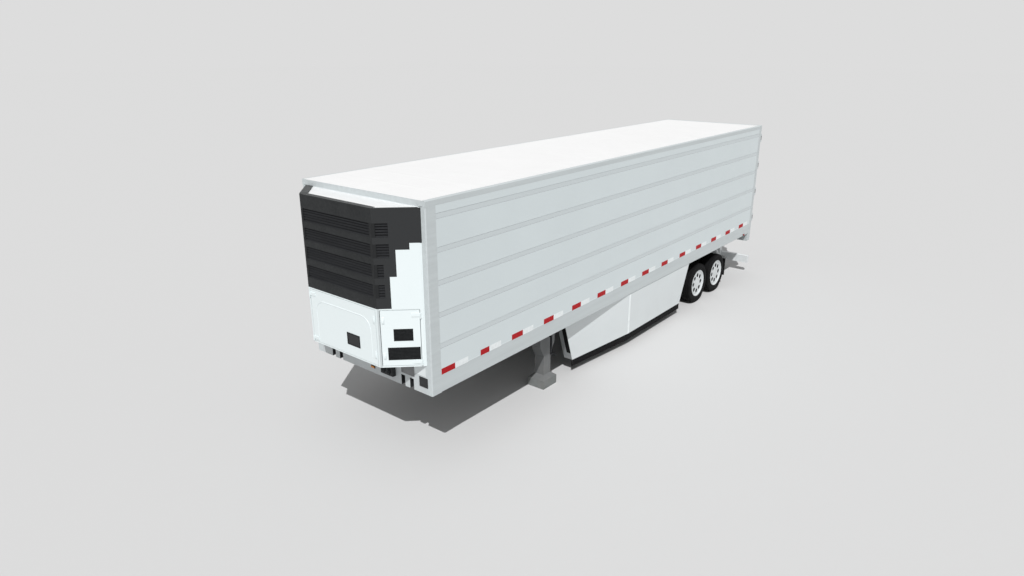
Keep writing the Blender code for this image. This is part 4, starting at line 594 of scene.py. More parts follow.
finish_nodes(side_paint, *both("side_wall"))
finish_nodes(panel_white, "front_wall", *both("skirt_front", "skirt_rear"))
finish_nodes(sill_paint, "nose_sill")
finish_nodes(door_paint, *both("rear_door"))
finish_nodes(roof_paint, "roof")
finish_nodes(rail_metal, "rear_frame", *both("bottom_rail", "top_rail", "corner_post"))
finish_nodes(bare_metal, "fuel_tank")
finish_nodes(guard_paint, "underride_guard")
finish_nodes(lamp_strip, "tail_lamps")
finish_nodes(frame_steel, "underframe", "coupler", "landing_brace", "slider_frame", "axle_1", "axle_2")
finish_nodes(blade_dark, "landing_crank")
finish_nodes(leg_steel, *both("landing_leg"))
finish_nodes(cast_iron, "unit_engine")
finish_nodes(unit_white, "unit_frame", "unit_front_door", *both("unit_side_door"))
finish_nodes(unit_dark, "unit_cowl", "connector_box")
finish_nodes(coil, "unit_condenser")
finish_nodes(seal_rubber, *both("skirt_strip", "mudflap", "air_spring_1", "air_spring_2"))
print("solids with a finish:", sum(1 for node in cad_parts.values()
                                   if node.material_slots and node.material_slots[0].material))

# %% [markdown]
# From a drawing to a piece.
#
# Every new piece takes the same steps: its faces turn outwards, it gets its finish and it rides on
# a body. One function takes them all.


def dress(name, bm, finish, body="trailer", smooth=0, replaces=()):
    """Turn a bmesh into a piece that rides on a body."""
    bmesh.ops.recalc_face_normals(bm, faces=bm.faces)
    mesh = mesh_from(bm)
    mesh.name = name
    mesh.materials.append(finish)
    if smooth:
        mesh.shade_smooth()
        mesh.set_sharp_from_angle(angle=math.radians(smooth))
    piece = add_object(name, mesh)
    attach(piece, body)
    if replaces:
        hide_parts(*replaces)
    mesh.calc_loop_triangles()
    print(f"{name}: {len(mesh.loop_triangles)} triangles on {body}")


# %% [markdown]
# Wheels.
#
# Each station turns as one body: two tyres, two steel disc wheels back to back, and the hub and
# drum. The solids give size and place but are coarse, so the pieces here stand for them. A tyre is
# one closed profile turned about the axle with four straight grooves, as on a free-rolling axle.
# A pressed cover lies across the outer wheel, as in the photograph. Its eight holes are cut with a
# Boolean, and everything behind it is painted near black: painted shade in the hollow of the wheels.
# Nuts, lugs and cutters are copies turned about the axle. Each part is drawn about the X axis and
# then moved to its four stations.

# %% Wheel stations
OUTER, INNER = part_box("tyre_1_street_outer"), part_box("tyre_1_street_inner")
DUAL_X = (OUTER[1].x + INNER[0].x) / 2
TYRE_OFFSET = (OUTER[1].x - INNER[1].x) / 2
TYRE_HALF = (OUTER[1].x - OUTER[0].x) / 2
WHEEL_Z = middle("tyre_1_street_outer", 2)
STATIONS = [(f"{number}_{side}", middle(f"tyre_{number}_street_outer", 1), sign)
            for number in (1, 2) for side, sign in SIDES]


def dress_stations(stem, draw, finish, smooth, replaces=()):
    """Draws a part about the X axis, turns it to face out and moves it to each wheel station."""
    for station, y, sign in STATIONS:
        part = draw()
        turn = Matrix.Identity(4) if sign > 0 else Matrix.Rotation(math.pi, 4, "Z")
        place = Matrix.Translation((sign * DUAL_X, y, WHEEL_Z)) @ turn
        bmesh.ops.transform(part, matrix=place, verts=part.verts)
        dress(f"{stem}_{station}", part, finish, f"twin_wheels_{station}", smooth,
              [node.format(station) for node in replaces])


print("stations:", [station for station, _, _ in STATIONS])

# %% Tyres
# half of the tyre's outline: place across the tyre as a share of its half width, radius
TYRE_HALF_OUTLINE = [(0.76, 0.2845), (0.84, 0.300), (0.885, 0.318), (0.975, 0.345), (1.0, 0.372),
                     (0.99, 0.398), (0.95, 0.422), (0.92, 0.436), (0.915, 0.441), (0.885, 0.4435),
                     (0.89, 0.450), (0.865, 0.4575), (0.82, 0.4615), (0.77, 0.463), (0.60, 0.464),
                     (0.585, 0.452), (0.53, 0.452), (0.515, 0.4645), (0.235, 0.465),
                     (0.22, 0.453), (0.165, 0.453), (0.15, 0.465)]
LUG_OUTLINE = [(0.117, 0.437), (0.1185, 0.438), (0.1135, 0.4585), (0.108, 0.457)]
LUG_HALF, LUG_COUNT = 0.0085, 64


def tyre_mesh():
    """One tyre about the X axis at the origin, with its lugs along both shoulders."""
    half = [(share * TYRE_HALF, radius) for share, radius in TYRE_HALF_OUTLINE]
    outline = half + [(-x, radius) for x, radius in half[::-1]]
    carcass = drawn(add_turned, outline, (0, 0, 0), "X", 80, ring=True)
    lug = bmesh.new()
    for sign in (1, -1):
        add_prism(lug, [(sign * x, radius) for x, radius in LUG_OUTLINE], "Y", -LUG_HALF, LUG_HALF)
    return mesh_from(joined([mesh_from(carcass), repeat_round(lug, tyre_rubber, LUG_COUNT)]))


def draw_tyres():
    pair = bmesh.new()
    for offset in (TYRE_OFFSET, -TYRE_OFFSET):
        add_moved(pair, joined([one_tyre.copy()]), Matrix.Translation((offset, 0, 0)))
    return pair


one_tyre = tyre_mesh()
dress_stations("tyres", draw_tyres, tyre_rubber, 32, ("tyre_{}_outer", "tyre_{}_inner"))

# %% Disc wheels and the cover with its holes
# closed outline of the outer wheel: place out from the plane between the twins, radius
WHEEL_OUTLINE = [(0.279, 0.300), (0.281, 0.309), (0.276, 0.312), (0.270, 0.306), (0.268, 0.2855),
                 (0.235, 0.2835), (0.200, 0.262), (0.125, 0.262), (0.082, 0.2835), (0.062, 0.2855),
                 (0.060, 0.306), (0.055, 0.312), (0.050, 0.309), (0.052, 0.295), (0.058, 0.279),
                 (0.076, 0.273), (0.112, 0.254), (0.102, 0.248), (0.072, 0.240), (0.030, 0.212),
                 (0.008, 0.186), (0.003, 0.168), (0.003, 0.1115), (0.014, 0.1115), (0.014, 0.168),
                 (0.019, 0.184), (0.040, 0.206), (0.080, 0.2335), (0.115, 0.2425), (0.135, 0.2495),
                 (0.200, 0.2515), (0.240, 0.270), (0.262, 0.2755), (0.269, 0.281), (0.274, 0.290)]
COVER_OUTLINE = [(0.253, 0), (0.253, 0.277), (0.259, 0.277), (0.259, 0.258), (0.2615, 0.254),
                 (0.2615, 0.247), (0.259, 0.243), (0.259, 0.128), (0.2605, 0.124), (0.2605, 0.098),
                 (0.259, 0.094), (0.259, 0.066), (0.2625, 0.062), (0.2625, 0)]
COVER_CUT, COVER_BACK = (0.24, 0.27), 0.253
HOLE_CIRCLE, HOLE_RADIUS, HOLE_COUNT = 0.190, 0.050, 8


def cover_mesh():
    """The cover about the X axis at the origin, with its ring of holes."""
    disc = drawn(add_turned, COVER_OUTLINE, (0, 0, 0), "X", 72)
    bmesh.ops.recalc_face_normals(disc, faces=disc.faces)
    hole = drawn(add_rod, COVER_CUT, HOLE_RADIUS, (0, HOLE_CIRCLE, 0), "X", 24)
    plain = add_object("plain", mesh_from(disc))
    cutter = add_object("cutter", repeat_round(hole, wheel_paint, HOLE_COUNT))
    cut = plain.modifiers.new("hand_holes", "BOOLEAN")
    cut.operation, cut.solver, cut.object = "DIFFERENCE", "EXACT", cutter
    return applied(plain, cutter)


def draw_rims():
    rims = bmesh.new()
    for out in (1, -1):
        outline = [(out * place, radius) for place, radius in WHEEL_OUTLINE]
        add_turned(rims, outline, (0, 0, 0), "X", 72, ring=True)
    rims.from_mesh(wheel_cover)
    return rims


# everything behind the cover is painted near black: painted shade in the hollow of the wheels
cover_hollow_shade = spread(wheel_paint, off_centre(wheel_paint), 1.0, 0.0, DUAL_X + COVER_BACK - 0.0005,
                      DUAL_X + COVER_BACK + 0.0005)
overlay(wheel_paint, cover_hollow_shade, colour=(0.012, 0.011, 0.010), roughness=0.9)
wheel_cover = cover_mesh()
print("wheel cover:", len(wheel_cover.polygons), "faces")
dress_stations("rims", draw_rims, wheel_paint, 35, ("wheel_{}",))

# %% Hub, drum, cap and nuts
HUB_OUTLINE = [(0.11, 0), (0.11, 0.0508), (-0.2775, 0.0508), (-0.2775, 0.204), (-0.268, 0.2075),
               (-0.256, 0.2075), (-0.250, 0.202), (-0.075, 0.202), (-0.045, 0.190), (-0.016, 0.165),
               (-0.004, 0.165), (-0.004, 0.110), (0.017, 0.110), (0.019, 0.104), (0.065, 0.101),
               (0.098, 0.099), (0.104, 0.103), (0.114, 0.103), (0.119, 0.098), (0.120, 0.0)]
CAP_OUTLINE = [(0.1195, 0), (0.1195, 0.083), (0.129, 0.083), (0.132, 0.079), (0.195, 0.073),
               (0.222, 0.067), (0.232, 0.058), (0.234, 0.050), (0.231, 0.046), (0.231, 0)]
NUT_OUTLINE = [(0.0145, 0.0235), (0.018, 0.0235), (0.0185, 0.019), (0.036, 0.019), (0.038, 0.0165)]
STUD_OUTLINE = [(0.036, 0.010), (0.052, 0.010), (0.054, 0.008)]
NUT_CIRCLE, NUT_COUNT = 0.1425, 10
CAP_BOLT_CIRCLE, CAP_BOLT_COUNT = 0.0765, 6


def draw_nuts_and_cap():
    nut = drawn(add_turned, NUT_OUTLINE, (0, 0, NUT_CIRCLE), "X", 6)
    add_turned(nut, STUD_OUTLINE, (0, 0, NUT_CIRCLE), "X", 8)
    cap_bolt = drawn(add_rod, (0.129, 0.135), 0.007, (0, 0, CAP_BOLT_CIRCLE), "X", 6)
    fittings = joined([repeat_round(nut, bright_steel, NUT_COUNT),
                       repeat_round(cap_bolt, bright_steel, CAP_BOLT_COUNT)])
    add_turned(fittings, CAP_OUTLINE, (0, 0, 0), "X", 32)
    return fittings


dress_stations("hub", lambda: drawn(add_turned, HUB_OUTLINE, (0, 0, 0), "X", 48), cast_iron, 35)
dress_stations("nuts_and_cap", draw_nuts_and_cap, bright_steel, 35)

# %% [markdown]
# The grille of the cooling unit.
#
# Four wide openings cross the dark cowl and run on round its corners. Each holds five slats that
# slope down and out, so rain runs off and nobody sees in from above. One slat with its two corner
# ends is the item, and the tree stacks it. The coil stands behind the wide openings only, so each
# corner opening has a dark screen of its own. A darker band on the cowl, painted shade, carries each
# opening round the corner. Corner parts are modelled flat and then laid onto the corner face by one
# matrix, which holds the face's direction, taken from the cowl's corners.

# %% Corner faces of the unit
cowl_places = [vert.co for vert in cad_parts["unit_cowl"].data.vertices]
front_places = [place for place in cowl_places if place.y < UNIT_FRONT + 0.001]
FRONT_HALF = max(place.x for place in front_places)
corner_end = max(cowl_places, key=lambda place: (round(place.x, 4), place.y))
CORNER_RUN = Vector((corner_end.x - FRONT_HALF, corner_end.y - UNIT_FRONT, 0)).normalized()
CORNER_LENGTH = (NOSE_Y - UNIT_FRONT) / CORNER_RUN.y
print("corner face", round(CORNER_LENGTH, 3), "m long, turned",
      round(math.degrees(math.atan2(CORNER_RUN.y, CORNER_RUN.x)), 1), "degrees")


def on_corner(bm, sign, draw, *sizes):
    """Draws a shape flat, as along, out and up, and lays it onto the corner face of one side."""
    run, out = CORNER_RUN, Vector((CORNER_RUN.y, -CORNER_RUN.x, 0))
    place = Matrix(((sign * run.x, sign * out.x, 0, sign * FRONT_HALF),
                    (run.y, out.y, 0, UNIT_FRONT), (0, 0, 1, 0), (0, 0, 0, 1)))
    add_moved(bm, drawn(draw, *sizes), place)


def on_corners(bm, draw, *sizes):
    for _, sign in SIDES:
        on_corner(bm, sign, draw, *sizes)


# %% Slats in the four openings
GRILLE_EDGE = 0.045
CORNER_SHARES = (0.20, 0.20, 0.33, 0.33)
SLATS = 5
SLAT_OUTLINE = [(-0.0035, -0.0165), (-0.0060, -0.0175), (-0.0275, 0.0130), (-0.0255, 0.0145)]
SCREEN_LAP = 0.012
opening_levels = sorted({round(place.z, 3) for place in front_places})[1:-1]
openings = list(zip(opening_levels[::2], opening_levels[1::2]))
print("grille openings:", openings)
stacks, screens = [], bmesh.new()
for (low, high), share in zip(openings, CORNER_SHARES):
    pitch = (high - low) / SLATS
    corner_span = (GRILLE_EDGE, share * CORNER_LENGTH)
    slat = drawn(add_prism, [(UNIT_FRONT - out, up) for out, up in SLAT_OUTLINE], "X",
                 *inset((-FRONT_HALF, FRONT_HALF), GRILLE_EDGE))
    on_corners(slat, add_prism, SLAT_OUTLINE, "X", *corner_span)
    stacks.append(repeat(slat, blade_dark, SLATS, (0, 0, low + pitch / 2), step=(0, 0, pitch)))
    on_corners(screens, add_box, inset(corner_span, -SCREEN_LAP), (-0.032, -0.030),
               inset((low, high), -SCREEN_LAP))
dress("grille_slats", joined(stacks), blade_dark)
dress("grille_screens", screens, vent_dark)

# painted shade: the cowl beside the openings is painted darker at their heights, round the corner
BAND_REACH, BAND_SOFT = FRONT_HALF + 0.033, 0.001
near_corner = spread(unit_dark, off_centre(unit_dark), 1.0, 0.0, BAND_REACH, BAND_REACH + BAND_SOFT)
opening_band_shade = reckon(unit_dark, "MULTIPLY", bands(unit_dark, "Z", openings), near_corner)
overlay(unit_dark, opening_band_shade, colour=(0.018, 0.019, 0.020))

# %% Strips and trim on the corners
COWL_END = (corner_end.x - FRONT_HALF) / CORNER_RUN.x
TOP_LAP, TRIM_HIGH = 0.085, 0.005
STRIP_OUT = (-0.001, 0.0012)
step_z = min(place.z for place in cowl_places if place.x > corner_end.x - 0.001)
strips, edges = bmesh.new(), bmesh.new()
on_corners(strips, add_box, (COWL_END - 0.003, CORNER_LENGTH - 0.001), STRIP_OUT,
           (step_z, UNIT_TOP + 0.0005), 0.0005, 1)
dress("cowl_end_strips", strips, unit_dark)
on_corners(edges, add_box, (0.002, 0.029), STRIP_OUT, (UNIT_LOW + 0.008, COWL_LOW - 0.003), 0.0005, 1)
dress("corner_edge_strips", edges, rail_metal)

trim_z = (UNIT_TOP, UNIT_TOP + TRIM_HIGH)
top_trim = drawn(add_box, (-FRONT_HALF, FRONT_HALF), (UNIT_FRONT, UNIT_FRONT + TOP_LAP), trim_z,
                 0.0015, 1)
on_corners(top_trim, add_box, (0, CORNER_LENGTH - 0.035), (-0.016, 0), trim_z, 0.0015, 1)
patch_end = CORNER_LENGTH - 0.05
on_corner(top_trim, -1, add_prism, [(0.004, -0.004), (patch_end, -0.004), (patch_end, -0.12),
                                    (0.004, -0.12)], "Z", trim_z[1], trim_z[1] + 0.007, 0.002)
dress("unit_top_trim", top_trim, bleached_dark)

# %% [markdown]
# Fittings on the service doors.
#
# The front door has one dark window over the controls, two paddle latches on its free edge and a
# raised bead that stiffens the panel. The corner doors have two louvred vents each, set into the
# recesses of the solid. All of these ride on their own door, so they swing with it.

# %% Front service door
WINDOW_X, WINDOW_Z = (0.074, 0.350), (1.728, 1.910)
bezel = drawn(add_frame, WINDOW_X, (UNIT_FRONT - 0.007, UNIT_FRONT), WINDOW_Z, 0.014, 0.002, 2,
              sunk=0.0004)
dress("control_bezel", bezel, vent_dark, "service_door_front", 30)
pane = drawn(add_box, inset(WINDOW_X, 0.012), (UNIT_FRONT - 0.0025, UNIT_FRONT),
             inset(WINDOW_Z, 0.012), 0.0008, 1)
dress("control_window", pane, dark_glass, "service_door_front")


def rounded_path(corners, radius, steps):
    """A path through corners, with each inner corner rounded."""
    corners = [Vector(corner) for corner in corners]
    points = [corners[0]]
    for before, corner, after in zip(corners, corners[1:], corners[2:]):
        start = corner + (before - corner).normalized() * radius
        end = corner + (after - corner).normalized() * radius
        for k in range(steps + 1):
            t = k / steps
            points.append((1 - t) ** 2 * start + 2 * t * (1 - t) * corner + t * t * end)
    return points + [corners[-1]]


BEAD_HALF, BEAD_TOP, BEAD_LOW, BEAD_BEND, BEAD_RADIUS = 0.60, 2.24, 1.66, 0.22, 0.009
LATCH_HEIGHTS = (1.72, 2.24)
bead_corners = [(x, UNIT_FRONT + 0.004, z) for x, z in (
    (-BEAD_HALF, BEAD_LOW), (-BEAD_HALF, BEAD_TOP), (BEAD_HALF, BEAD_TOP), (BEAD_HALF, BEAD_LOW))]
bead = drawn(add_tube, rounded_path(bead_corners, BEAD_BEND, 12), BEAD_RADIUS, 12)
latch_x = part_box("unit_front_door")[1].x - 0.035
for z in LATCH_HEIGHTS:
    add_box(bead, about(latch_x, 0.022), (UNIT_FRONT - 0.005, UNIT_FRONT + 0.002), about(z, 0.055),
            0.0035, 3)
    add_box(bead, about(latch_x, 0.014), (UNIT_FRONT - 0.011, UNIT_FRONT - 0.004),
            (z - 0.042, z + 0.020), 0.003, 3)
dress("front_door_bead_and_latches", bead, unit_white, "service_door_front", 40)

# %% Vents and latches of the corner doors
# each vent: its span along the corner face as shares of the face's length, its heights
VENTS = (((0.322, 0.735), (1.937, 2.116)), ((0.185, 0.875), (1.657, 1.846)))
VENT_SLATS = 9
VENT_SLAT_OUTLINE = [(0.0008, -0.006), (-0.0010, -0.0068), (-0.0086, 0.0060), (-0.0070, 0.0072)]
for side, sign in SIDES:
    grid, stacks, latch = bmesh.new(), [], bmesh.new()
    for shares, heights in VENTS:
        start, end = inset([share * CORNER_LENGTH for share in shares], 0.001)
        rise = inset(heights, 0.001)
        on_corner(grid, sign, add_box, (start, end), (-0.0108, -0.0085), rise)
        for bar in ((start, start + 0.008), (end - 0.008, end)):
            on_corner(grid, sign, add_box, bar, (-0.0086, 0.001), rise, 0.001, 1)
        slat = bmesh.new()
        on_corner(slat, sign, add_prism, VENT_SLAT_OUTLINE, "X", start + 0.007, end - 0.007)
        low, high = inset(heights, 0.002)
        pitch = (high - low) / VENT_SLATS
        stacks.append(repeat(slat, vent_dark, VENT_SLATS, (0, 0, low + pitch / 2), step=(0, 0, pitch)))
    dress(f"door_vents_{side}", joined([mesh_from(grid)] + stacks), vent_dark, f"service_door_{side}")
    for z in LATCH_HEIGHTS:
        on_corner(latch, sign, add_box, (0.052, 0.092), (-0.002, 0.005), about(z, 0.05), 0.0035, 3)
        on_corner(latch, sign, add_box, (0.059, 0.085), (0.004, 0.010), (z - 0.038, z + 0.018),
                  0.0028, 3)
    dress(f"corner_door_latches_{side}", latch, unit_white, f"service_door_{side}", 40)

# %% [markdown]
# Small fittings on the nose wall.
#
# A grey cap finishes the roof's front edge. Below the unit the wall carries a bolted dark grey plate,
# which is painted shade under the unit, a hinged dark cover on the street side, an amber clearance
# lamp and the two air couplings on the connector box. Dark liners in the four pockets of the sill
# are painted shade in those recesses. The lamp is a domed lens in a base.

# %% Cap, plate, cover and pocket liners
cap = drawn(add_box, (ROOF[0].x, ROOF[1].x), (NOSE_Y - 0.002, NOSE_Y + 0.001),
            (ROOF[0].z, ROOF[1].z - 0.002), 0.0008, 1)
dress("roof_front_cap", cap, rail_metal)

# a dark grey plate where the unit's shade falls on the wall: painted shade
PLATE_X, PLATE_Z = (0.675, 0.945), (1.30, 1.475)
plate = drawn(add_box, PLATE_X, (NOSE_Y - 0.004, NOSE_Y + 0.001), PLATE_Z, 0.0015, 2)
for x in inset(PLATE_X, 0.02):
    for z in inset(PLATE_Z, 0.02):
        add_rod(plate, (NOSE_Y - 0.0085, NOSE_Y - 0.003), 0.007, (x, 0, z), "Y", 6)
dress("nose_plate", plate, plate_grey, smooth=30)

COVER_X, COVER_Z, COVER_HINGES = (1.045, 1.211), (1.20, 1.35), (1.235, 1.305)
cover = drawn(add_box, COVER_X, (NOSE_Y - 0.006, NOSE_Y + 0.001), COVER_Z, 0.002, 2)
add_box(cover, inset(COVER_X, 0.007), (NOSE_Y - 0.009, NOSE_Y - 0.005),
        (COVER_Z[0] + 0.007, COVER_Z[1] - 0.015), 0.0025, 2)
for z in COVER_HINGES:
    add_rod(cover, about(z, 0.014), 0.005, (COVER_X[1] - 0.0035, NOSE_Y - 0.008, 0), "Z", 10)
dress("nose_cover", cover, unit_dark, smooth=30)

POCKET_CENTRES, POCKET_HALF, POCKET_RISE, POCKET_DEPTH = (0.706, 0.886), 0.0395, 0.1645, 0.0595
LINER = 0.003
sill_low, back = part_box("nose_sill")[0].z, NOSE_Y + POCKET_DEPTH
top = sill_low + POCKET_RISE
# dark liners in the pockets stand for the shade in those recesses: painted shade
liners = bmesh.new()
for _, sign in SIDES:
    for centre in POCKET_CENTRES:
        low, high = about(sign * centre, POCKET_HALF)
        add_box(liners, (low, high), (back - LINER, back), (sill_low + 0.001, top))
        add_box(liners, (low, high), (NOSE_Y + 0.001, back - 0.002), (top - LINER, top))
        for edge in ((low, low + LINER), (high - LINER, high)):
            add_box(liners, edge, (NOSE_Y + 0.001, back - 0.002), (sill_low + 0.001, top - 0.002))
dress("pocket_liners", liners, unit_dark)


# %% Lamp and couplings on the nose
def add_lamp(base, lens, centre, axis, out, size, depth):
    """A small oblong lamp: base plate and domed lens, out of a face along one axis."""
    spans = [about(centre[i], size[i] / 2) for i in range(3)]
    inner = [inset(span, 0.006) for span in spans]
    spans[axis] = (centre[axis], centre[axis] + out * depth * 0.45)
    inner[axis] = (centre[axis] + out * depth * 0.3, centre[axis] + out * depth)
    add_box(base, *spans, bevel=0.002, segments=2)
    add_box(lens, *inner, bevel=min(0.006, depth * 0.3), segments=3)


lamp_base, lens = bmesh.new(), bmesh.new()
add_lamp(lamp_base, lens, (0.054, NOSE_Y, 1.198), 1, -1, (0.085, 0, 0.038), 0.022)
dress("nose_lamp_base", lamp_base, seal_rubber, smooth=30)
dress("nose_lamp_lens", lens, lamp_amber, smooth=40)

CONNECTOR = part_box("connector_box")
front, middle_z = CONNECTOR[0].y, middle("connector_box", 2)
couplings = bmesh.new()
for share in (0.28, 0.72):
    x = CONNECTOR[0].x + (CONNECTOR[1].x - CONNECTOR[0].x) * share
    face = [(front - 0.004, 0.0), (front - 0.004, 0.014), (front + 0.004, 0.017),
            (front + 0.010, 0.017), (front + 0.010, 0.0)]
    flange = [(front + 0.0235, 0.030), (front + 0.0235, 0.036), (front + 0.030, 0.037),
              (front + 0.030, 0.030)]
    add_turned(couplings, face, (x, 0, middle_z), "Y", 16)
    add_turned(couplings, flange, (x, 0, middle_z), "Y", 24, ring=True)
    for z in about(middle_z, 0.046):
        add_turned(couplings, [(front + 0.026, 0.006), (front + 0.030, 0.0075)], (x, 0, z), "Y", 6)
dress("coupling_caps", couplings, vent_dark, smooth=35)

# %% [markdown]
# Tape, rivets and seams on the box.
#
# Reflective tape runs in red and white pieces along the foot of each side, as seen in the
# photograph, so its places are a plain list. Rivets hold the rails and posts to the skins. Each is
# a low dome of a few faces, because there are many hundreds of them.

# %% Reflective tape
TAPE_LENGTH, TAPE_GAP, TAPE_THICK = 0.277, 0.002, 0.0009
TAPE_Z = (WALL_LOW, WALL_LOW + 0.09)
RED_STARTS = (0.192, 1.02, 1.763, 2.606, 3.435, 4.26, 5.10, 5.93, 6.76, 7.60, 8.43, 9.26, 10.10, 10.94)
SHORT_START, SHORT_LENGTH = 1.02, 0.20
red, white = bmesh.new(), bmesh.new()
for _, sign in SIDES:
    face = (sign * WALL_X, sign * (WALL_X + TAPE_THICK))
    for start in RED_STARTS:
        change = start + (SHORT_LENGTH if start == SHORT_START else TAPE_LENGTH)
        add_box(red, face, (along(start), along(change)), TAPE_Z)
        add_box(white, face, (along(change + TAPE_GAP), along(change + TAPE_LENGTH)), TAPE_Z)
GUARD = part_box("underride_guard")
REAR_TAPE = 0.30
pieces = int(2 * GUARD[1].x / REAR_TAPE)
for k in range(pieces):
    x = -pieces * REAR_TAPE / 2 + k * REAR_TAPE
    add_box(white if k % 2 else red, inset((x, x + REAR_TAPE), TAPE_GAP),
            (GUARD[1].y, GUARD[1].y + TAPE_THICK), (GUARD[0].z + 0.05, GUARD[0].z + 0.10))
dress("tape_red", red, tape_red)
dress("tape_white", white, tape_white)

# %% Rivets
RIVET_PITCH = 0.10
RIVET_OUTLINE = [(-0.001, 0.0058), (0.0006, 0.0056), (0.0018, 0.0042), (0.0024, 0.0)]


def rivet_line(axis, out, start, step, count, rows=1, row_step=(0, 0, 0)):
    """Rivets in rows on a face that looks along one axis, outwards or against it."""
    dome = drawn(add_turned, [(out * place, radius) for place, radius in RIVET_OUTLINE], (0, 0, 0),
                 axis, 7)
    return repeat(dome, rail_metal, count, start, step=step, rows=rows, row_step=row_step)


def rivet_lines():
    back, across, up = (0, RIVET_PITCH, 0), (RIVET_PITCH, 0, 0), (0, 0, RIVET_PITCH)
    count = int((BODY_END - SIDE_START - 0.06) / RIVET_PITCH)
    post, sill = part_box("corner_post_street"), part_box("nose_sill")
    post_low, rise = post[0].z + 0.06, int((post[1].z - post[0].z - 0.1) / RIVET_PITCH)
    lines = [rivet_line("Y", -1, (-sill[1].x + 0.06, NOSE_Y, sill[1].z - 0.02), across,
                        int((2 * sill[1].x - 0.1) / RIVET_PITCH) + 1)]
    for _, sign in SIDES:
        face = sign * WALL_X
        lines += [
            rivet_line("X", sign, (face, SIDE_START + 0.05, WALL_LOW - 0.022), back, count, 2,
                       (0, 0, -0.036)),
            rivet_line("X", sign, (face, NOSE_Y + 0.05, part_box("top_rail_street")[0].z + 0.018), back,
                       count + 2),
            rivet_line("X", sign, (face, post[1].y - 0.02, post_low), up, rise, 2, (0, -0.125, 0)),
            rivet_line("Y", -1, (sign * (post[0].x + 0.02), NOSE_Y, post_low), up, rise, 2,
                       (sign * 0.075, 0, 0)),
            rivet_line("Z", 1, (sign * (ROOF[1].x - 0.02), NOSE_Y + 0.06, BODY_TOP), back, count + 2)]
    return lines


dress("rivets", joined(rivet_lines()), rail_metal)

# %% Markers on the side and rear
SIDE_MARKER, REAR_MARKERS = 11.33, (-1.15, -0.2, 0.0, 0.2, 1.15)
lamp_base, lens = bmesh.new(), bmesh.new()
for _, sign in SIDES:
    add_lamp(lamp_base, lens, (sign * WALL_X, along(SIDE_MARKER), RAIL_LOW + 0.032), 0, sign,
             (0, 0.085, 0.04), 0.02)
for x in REAR_MARKERS:
    add_lamp(lamp_base, lens, (x, REAR_Y, BODY_TOP - 0.045), 1, 1, (0.10, 0, 0.042), 0.022)
dress("marker_bases", lamp_base, seal_rubber, smooth=30)
dress("marker_lenses", lens, lamp_red, smooth=40)

# %% [markdown]
# The rear end.
#
# The photograph doesn't show it, so it follows the type: seals round both doors, rubber dock
# bumpers, a blank number plate in its holder and a rubber ring round each lens of the lamp strip.

# %% Door seals
SEAL_X, SEAL_Z, SEAL_WIDTH = (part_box("rear_door_street")[0].x, 1.187), (1.378, 3.692), 0.020
for side, sign in SIDES:
    seal = drawn(add_frame, sorted(sign * x for x in SEAL_X), (DOOR_FACE - 0.001, DOOR_FACE + 0.004),
                 SEAL_Z, SEAL_WIDTH, 0.0015, 2)
    dress(f"door_seal_{side}", seal, seal_rubber, f"cargo_door_{side}", 40)

# %% Bumpers, plate and lamp rings
BUMPER_X, BUMPER_HALF, BUMPER_Z, BUMPER_BOLTS_Z = 1.19, 0.075, (0.935, 1.245), (0.985, 1.195)
HOLDER_X, HOLDER_Z, HOLDER_WIDTH = (-0.163, 0.163), (1.080, 1.251), 0.008
bumpers = bmesh.new()
bolts = drawn(add_frame, HOLDER_X, (REAR_Y, REAR_Y + 0.008), HOLDER_Z, HOLDER_WIDTH, 0.001, 1, 0)
for _, sign in SIDES:
    add_box(bumpers, about(sign * BUMPER_X, BUMPER_HALF), (REAR_Y - 0.002, REAR_Y + 0.065),
            BUMPER_Z, 0.012, 3)
    for z in BUMPER_BOLTS_Z:
        add_rod(bolts, (REAR_Y + 0.063, REAR_Y + 0.070), 0.011, (sign * BUMPER_X, 0, z), "Y", 6)
for x in (-0.09, 0.09):
    add_turned(bolts, [(REAR_Y + 0.003, 0.006), (REAR_Y + 0.007, 0.005)],
               (x, 0, HOLDER_Z[1] - 0.026), "Y", 8)
dress("dock_bumpers", bumpers, seal_rubber, smooth=40)
dress("plate_holder_and_bolts", bolts, bright_steel, smooth=30)
plate = drawn(add_box, inset(HOLDER_X, HOLDER_WIDTH), (REAR_Y, REAR_Y + 0.004),
              inset(HOLDER_Z, HOLDER_WIDTH), 0.0008, 1)
dress("blank_plate", plate, panel_white)

LAMPS_START, LAMP_STEP, GROUP_STEP = -0.98, 0.18, 1.60
RING_OUTLINE = [(0.012, 0.0505), (0.012, 0.060), (0.017, 0.060), (0.020, 0.055), (0.018, 0.0498)]
ring = drawn(add_turned, [(REAR_Y + out, radius) for out, radius in RING_OUTLINE],
             (0, 0, middle("tail_lamps", 2)), "Y", 32, ring=True)
rings = repeat(ring, seal_rubber, 3, (LAMPS_START, 0, 0), step=(LAMP_STEP, 0, 0), rows=2,
               row_step=(GROUP_STEP, 0, 0))
dress("lamp_rings", joined([rings]), seal_rubber, smooth=40)

# %% [markdown]
# Inside the box.
#
# Cold air runs back under the load, so the floor of such a trailer is a row of aluminium T-rails.
# The piece here stands for the plain deck: its rail tops lie at the deck's level and the channels
# go down from there. A ribbed scuff band protects the foot of each wall from pallets.

# %% T-rail floor and scuff bands
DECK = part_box("floor")
RAILS, CHANNEL = 40, 0.034
